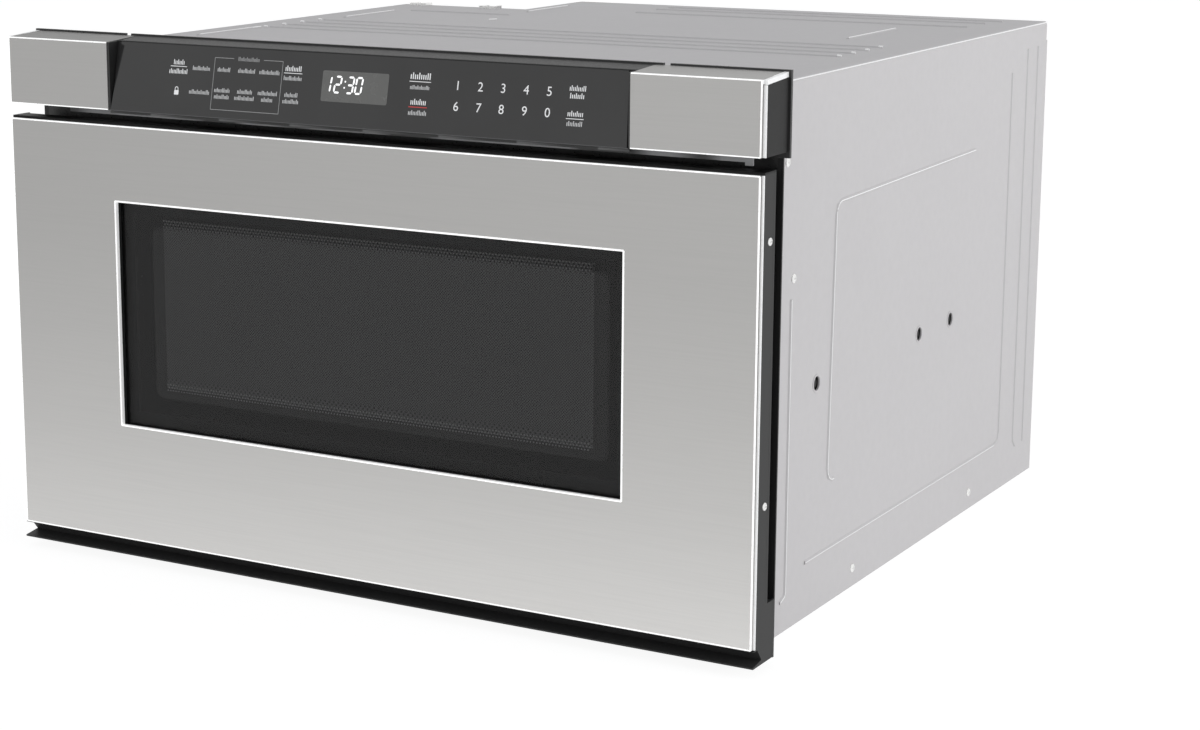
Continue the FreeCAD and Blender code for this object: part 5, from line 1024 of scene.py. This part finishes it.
# ------------------------------------------------------------------ screws
CASING_SCREW_RADIUS, FRAME_SCREW_RADIUS, SCREW_HEIGHT, SCREW_SEAT = mm(3.1, 2.6, 1.5, 0.2)
CROSS_REACH, CROSS_HALF, CROSS_DEPTH = mm(1.7, 0.42, 0.9)
DOME_FALL = 0.86

# Places as (depth, z) in millimetres.
FRAME_SCREWS = ((12.3, 110.5), (12.3, 279.0))
CASING_SCREWS = ((215.0, 13.5), (448.7, 13.5), (101.5, 239.6), (88.0, 317.4))


def screw_head(bm, face, y, z, side, size):
    """Low dome with an upright rim and a cross recess, standing out of a side face along X."""
    rings, sides = 12, 48
    levels = []
    for share in (ring / rings for ring in range(1, rings + 1)):
        row = []
        for u, v in circle(size * share, sides, 0.5):
            rise = SCREW_HEIGHT * math.sqrt(max(0.0, 1 - DOME_FALL * share ** 2))
            if size * share < CROSS_REACH and min(abs(u), abs(v)) < CROSS_HALF:
                rise -= CROSS_DEPTH
            row.append(bm.verts.new((face + side * rise, y + u, z + v)))
        levels.append(row)
    centre = bm.verts.new((face + side * (SCREW_HEIGHT - CROSS_DEPTH), y, z))
    levels.append([bm.verts.new((face - side * SCREW_SEAT, vert.co.y, vert.co.z)) for vert in levels[-1]])
    for k in range(sides):
        bm.faces.new((centre, levels[0][k], levels[0][(k + 1) % sides]))
    for first, second in zip(levels, levels[1:]):
        for k in range(sides):
            after = (k + 1) % sides
            bm.faces.new((first[k], second[k], second[after], first[after]))


def screws(node, name, places, body, size):
    """Detailed heads on both sides in place of a group of side screws."""
    face = corners(node)[1].x - SCREW_HEIGHT

    def build(bm):
        for side in (-1, 1):
            for depth, z in places:
                screw_head(bm, side * face, behind(depth), z * MM, side, size)
    obj = shape(name, build, "screw_bright", body, smooth=True)
    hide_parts(node)


# ------------------------------------------------------------------ stage, light and camera
FLOOR_REACH = 8.0
FLOOR_DROP = 0.5 * MM
FLOOR_COLOR = (0.86, 0.86, 0.86, 1.0)
FLOOR_ROUGHNESS = 0.9
FLOOR_GLOW = 1.14
FLOOR_GLOW_SHARE = 0.8
SKY_COLOR = (0.92, 0.94, 0.97, 1.0)
SKY_STRENGTH = 0.55


def camera():
    data = bpy.data.cameras.new("camera")
    data.sensor_width = SENSOR
    data.sensor_fit = "HORIZONTAL"
    data.lens = FOCAL_PX / PHOTO_WIDTH * SENSOR
    data.shift_x = (PHOTO_WIDTH / 2 - CENTRE_PX[0]) / PHOTO_WIDTH
    data.shift_y = (CENTRE_PX[1] - PHOTO_HEIGHT / 2) / PHOTO_WIDTH
    data.clip_start = CLIP_NEAR
    data.clip_end = CLIP_FAR
    right = Vector((math.cos(YAW), math.sin(YAW), 0))
    ahead = Vector((-math.sin(YAW), math.cos(YAW), 0))
    forward = ahead * math.cos(PITCH) - Vector((0, 0, math.sin(PITCH)))
    up = ahead * math.sin(PITCH) + Vector((0, 0, math.cos(PITCH)))
    across = right * math.cos(ROLL) + up * math.sin(ROLL)
    above = -right * math.sin(ROLL) + up * math.cos(ROLL)
    obj = bpy.data.objects.new("camera", data)
    bpy.context.scene.collection.objects.link(obj)
    turn = Matrix((across, above, -forward)).transposed().to_4x4()
    obj.matrix_world = Matrix.Translation(CAMERA_PLACE) @ turn
    bpy.context.scene.camera = obj


def area_lamp(name, place, target, size, power):
    data = bpy.data.lights.new(name, "AREA")
    data.shape = "RECTANGLE"
    data.size, data.size_y = size
    data.energy = power
    obj = bpy.data.objects.new(name, data)
    bpy.context.scene.collection.objects.link(obj)
    obj.location = place
    obj.rotation_euler = (Vector(target) - Vector(place)).to_track_quat("-Z", "Y").to_euler()
    obj.visible_glossy = False


def lamps():
    target = (0, 0, 0.2)
    area_lamp("key_right", (2.6, 0.5, 0.7), target, size=(1.8, 1.4), power=34)
    area_lamp("front_soft", (-0.4, -3.0, 0.5), target, size=(2.2, 1.0), power=22)


def seen_white(mat, plain, lit, output):
    """Show camera, gloss and glass the lit shader, and light the scene with the plain one."""
    path = add_node(mat, "LightPath").outputs
    seen = path["Is Camera Ray"]
    for other in ("Is Glossy Ray", "Is Transmission Ray"):
        seen = maths(mat, "MAXIMUM", seen, path[other])
    mix = add_node(mat, "MixShader")
    for socket, source in zip(mix.inputs, (seen, plain, lit)):
        link(mat, source, socket)
    link(mat, mix.outputs["Shader"], mat.node_tree.nodes[output].inputs["Surface"])


def world():
    sky = bpy.data.worlds.new("studio")
    bpy.context.scene.world = sky
    sky.use_nodes = True
    plain = sky.node_tree.nodes["Background"]
    plain.inputs["Color"].default_value = SKY_COLOR
    plain.inputs["Strength"].default_value = SKY_STRENGTH
    white = add_node(sky, "Background", Color=WHITE, Strength=1.0)
    seen_white(sky, plain.outputs["Background"], white.outputs["Background"], "World Output")


def floor():
    """Pale floor that looks white beyond the part's shadow."""
    data = bpy.data.meshes.new("floor")
    reach = FLOOR_REACH
    corner = [(-reach, -reach, 0), (reach, -reach, 0), (reach, reach, 0), (-reach, reach, 0)]
    data.from_pydata(corner, [], [(0, 1, 2, 3)])
    obj = bpy.data.objects.new("floor", data)
    bpy.context.scene.collection.objects.link(obj)
    obj.location.z = -FLOOR_DROP
    mat = bpy.data.materials.new("floor_pale")
    mat.use_nodes = True
    shader = mat.node_tree.nodes["Principled BSDF"]
    shader.inputs["Base Color"].default_value = FLOOR_COLOR
    shader.inputs["Roughness"].default_value = FLOOR_ROUGHNESS
    glow = add_node(mat, "Emission", Color=WHITE, Strength=FLOOR_GLOW)
    mix = add_node(mat, "MixShader", Fac=FLOOR_GLOW_SHARE)
    link(mat, shader.outputs["BSDF"], mix.inputs[1])
    link(mat, glow.outputs["Emission"], mix.inputs[2])
    seen_white(mat, shader.outputs["BSDF"], mix.outputs["Shader"], "Material Output")
    data.materials.append(mat)


def main():
    dress_frame()
    key_marks()
    group_outline()
    lock_mark()
    stop_line()
    digit_keys()
    display_window()
    display_time()
    window_screen()
    screen_rows()
    window_edges()
    skin_edges()
    wing_edges()
    wing_tops()
    wing_side_covers()
    panel_cap()
    frame_lips()
    plate_margins()
    panel_chin()
    pressed_highlights()
    access_rims()
    screws("frame_screws", "frame_screw_heads", FRAME_SCREWS, "drawer", FRAME_SCREW_RADIUS)
    screws("body_screws", "body_screw_heads", CASING_SCREWS, "chassis", CASING_SCREW_RADIUS)
    floor()
    world()
    lamps()
    camera()
    bpy.context.scene.view_settings.view_transform = "Standard"


main()
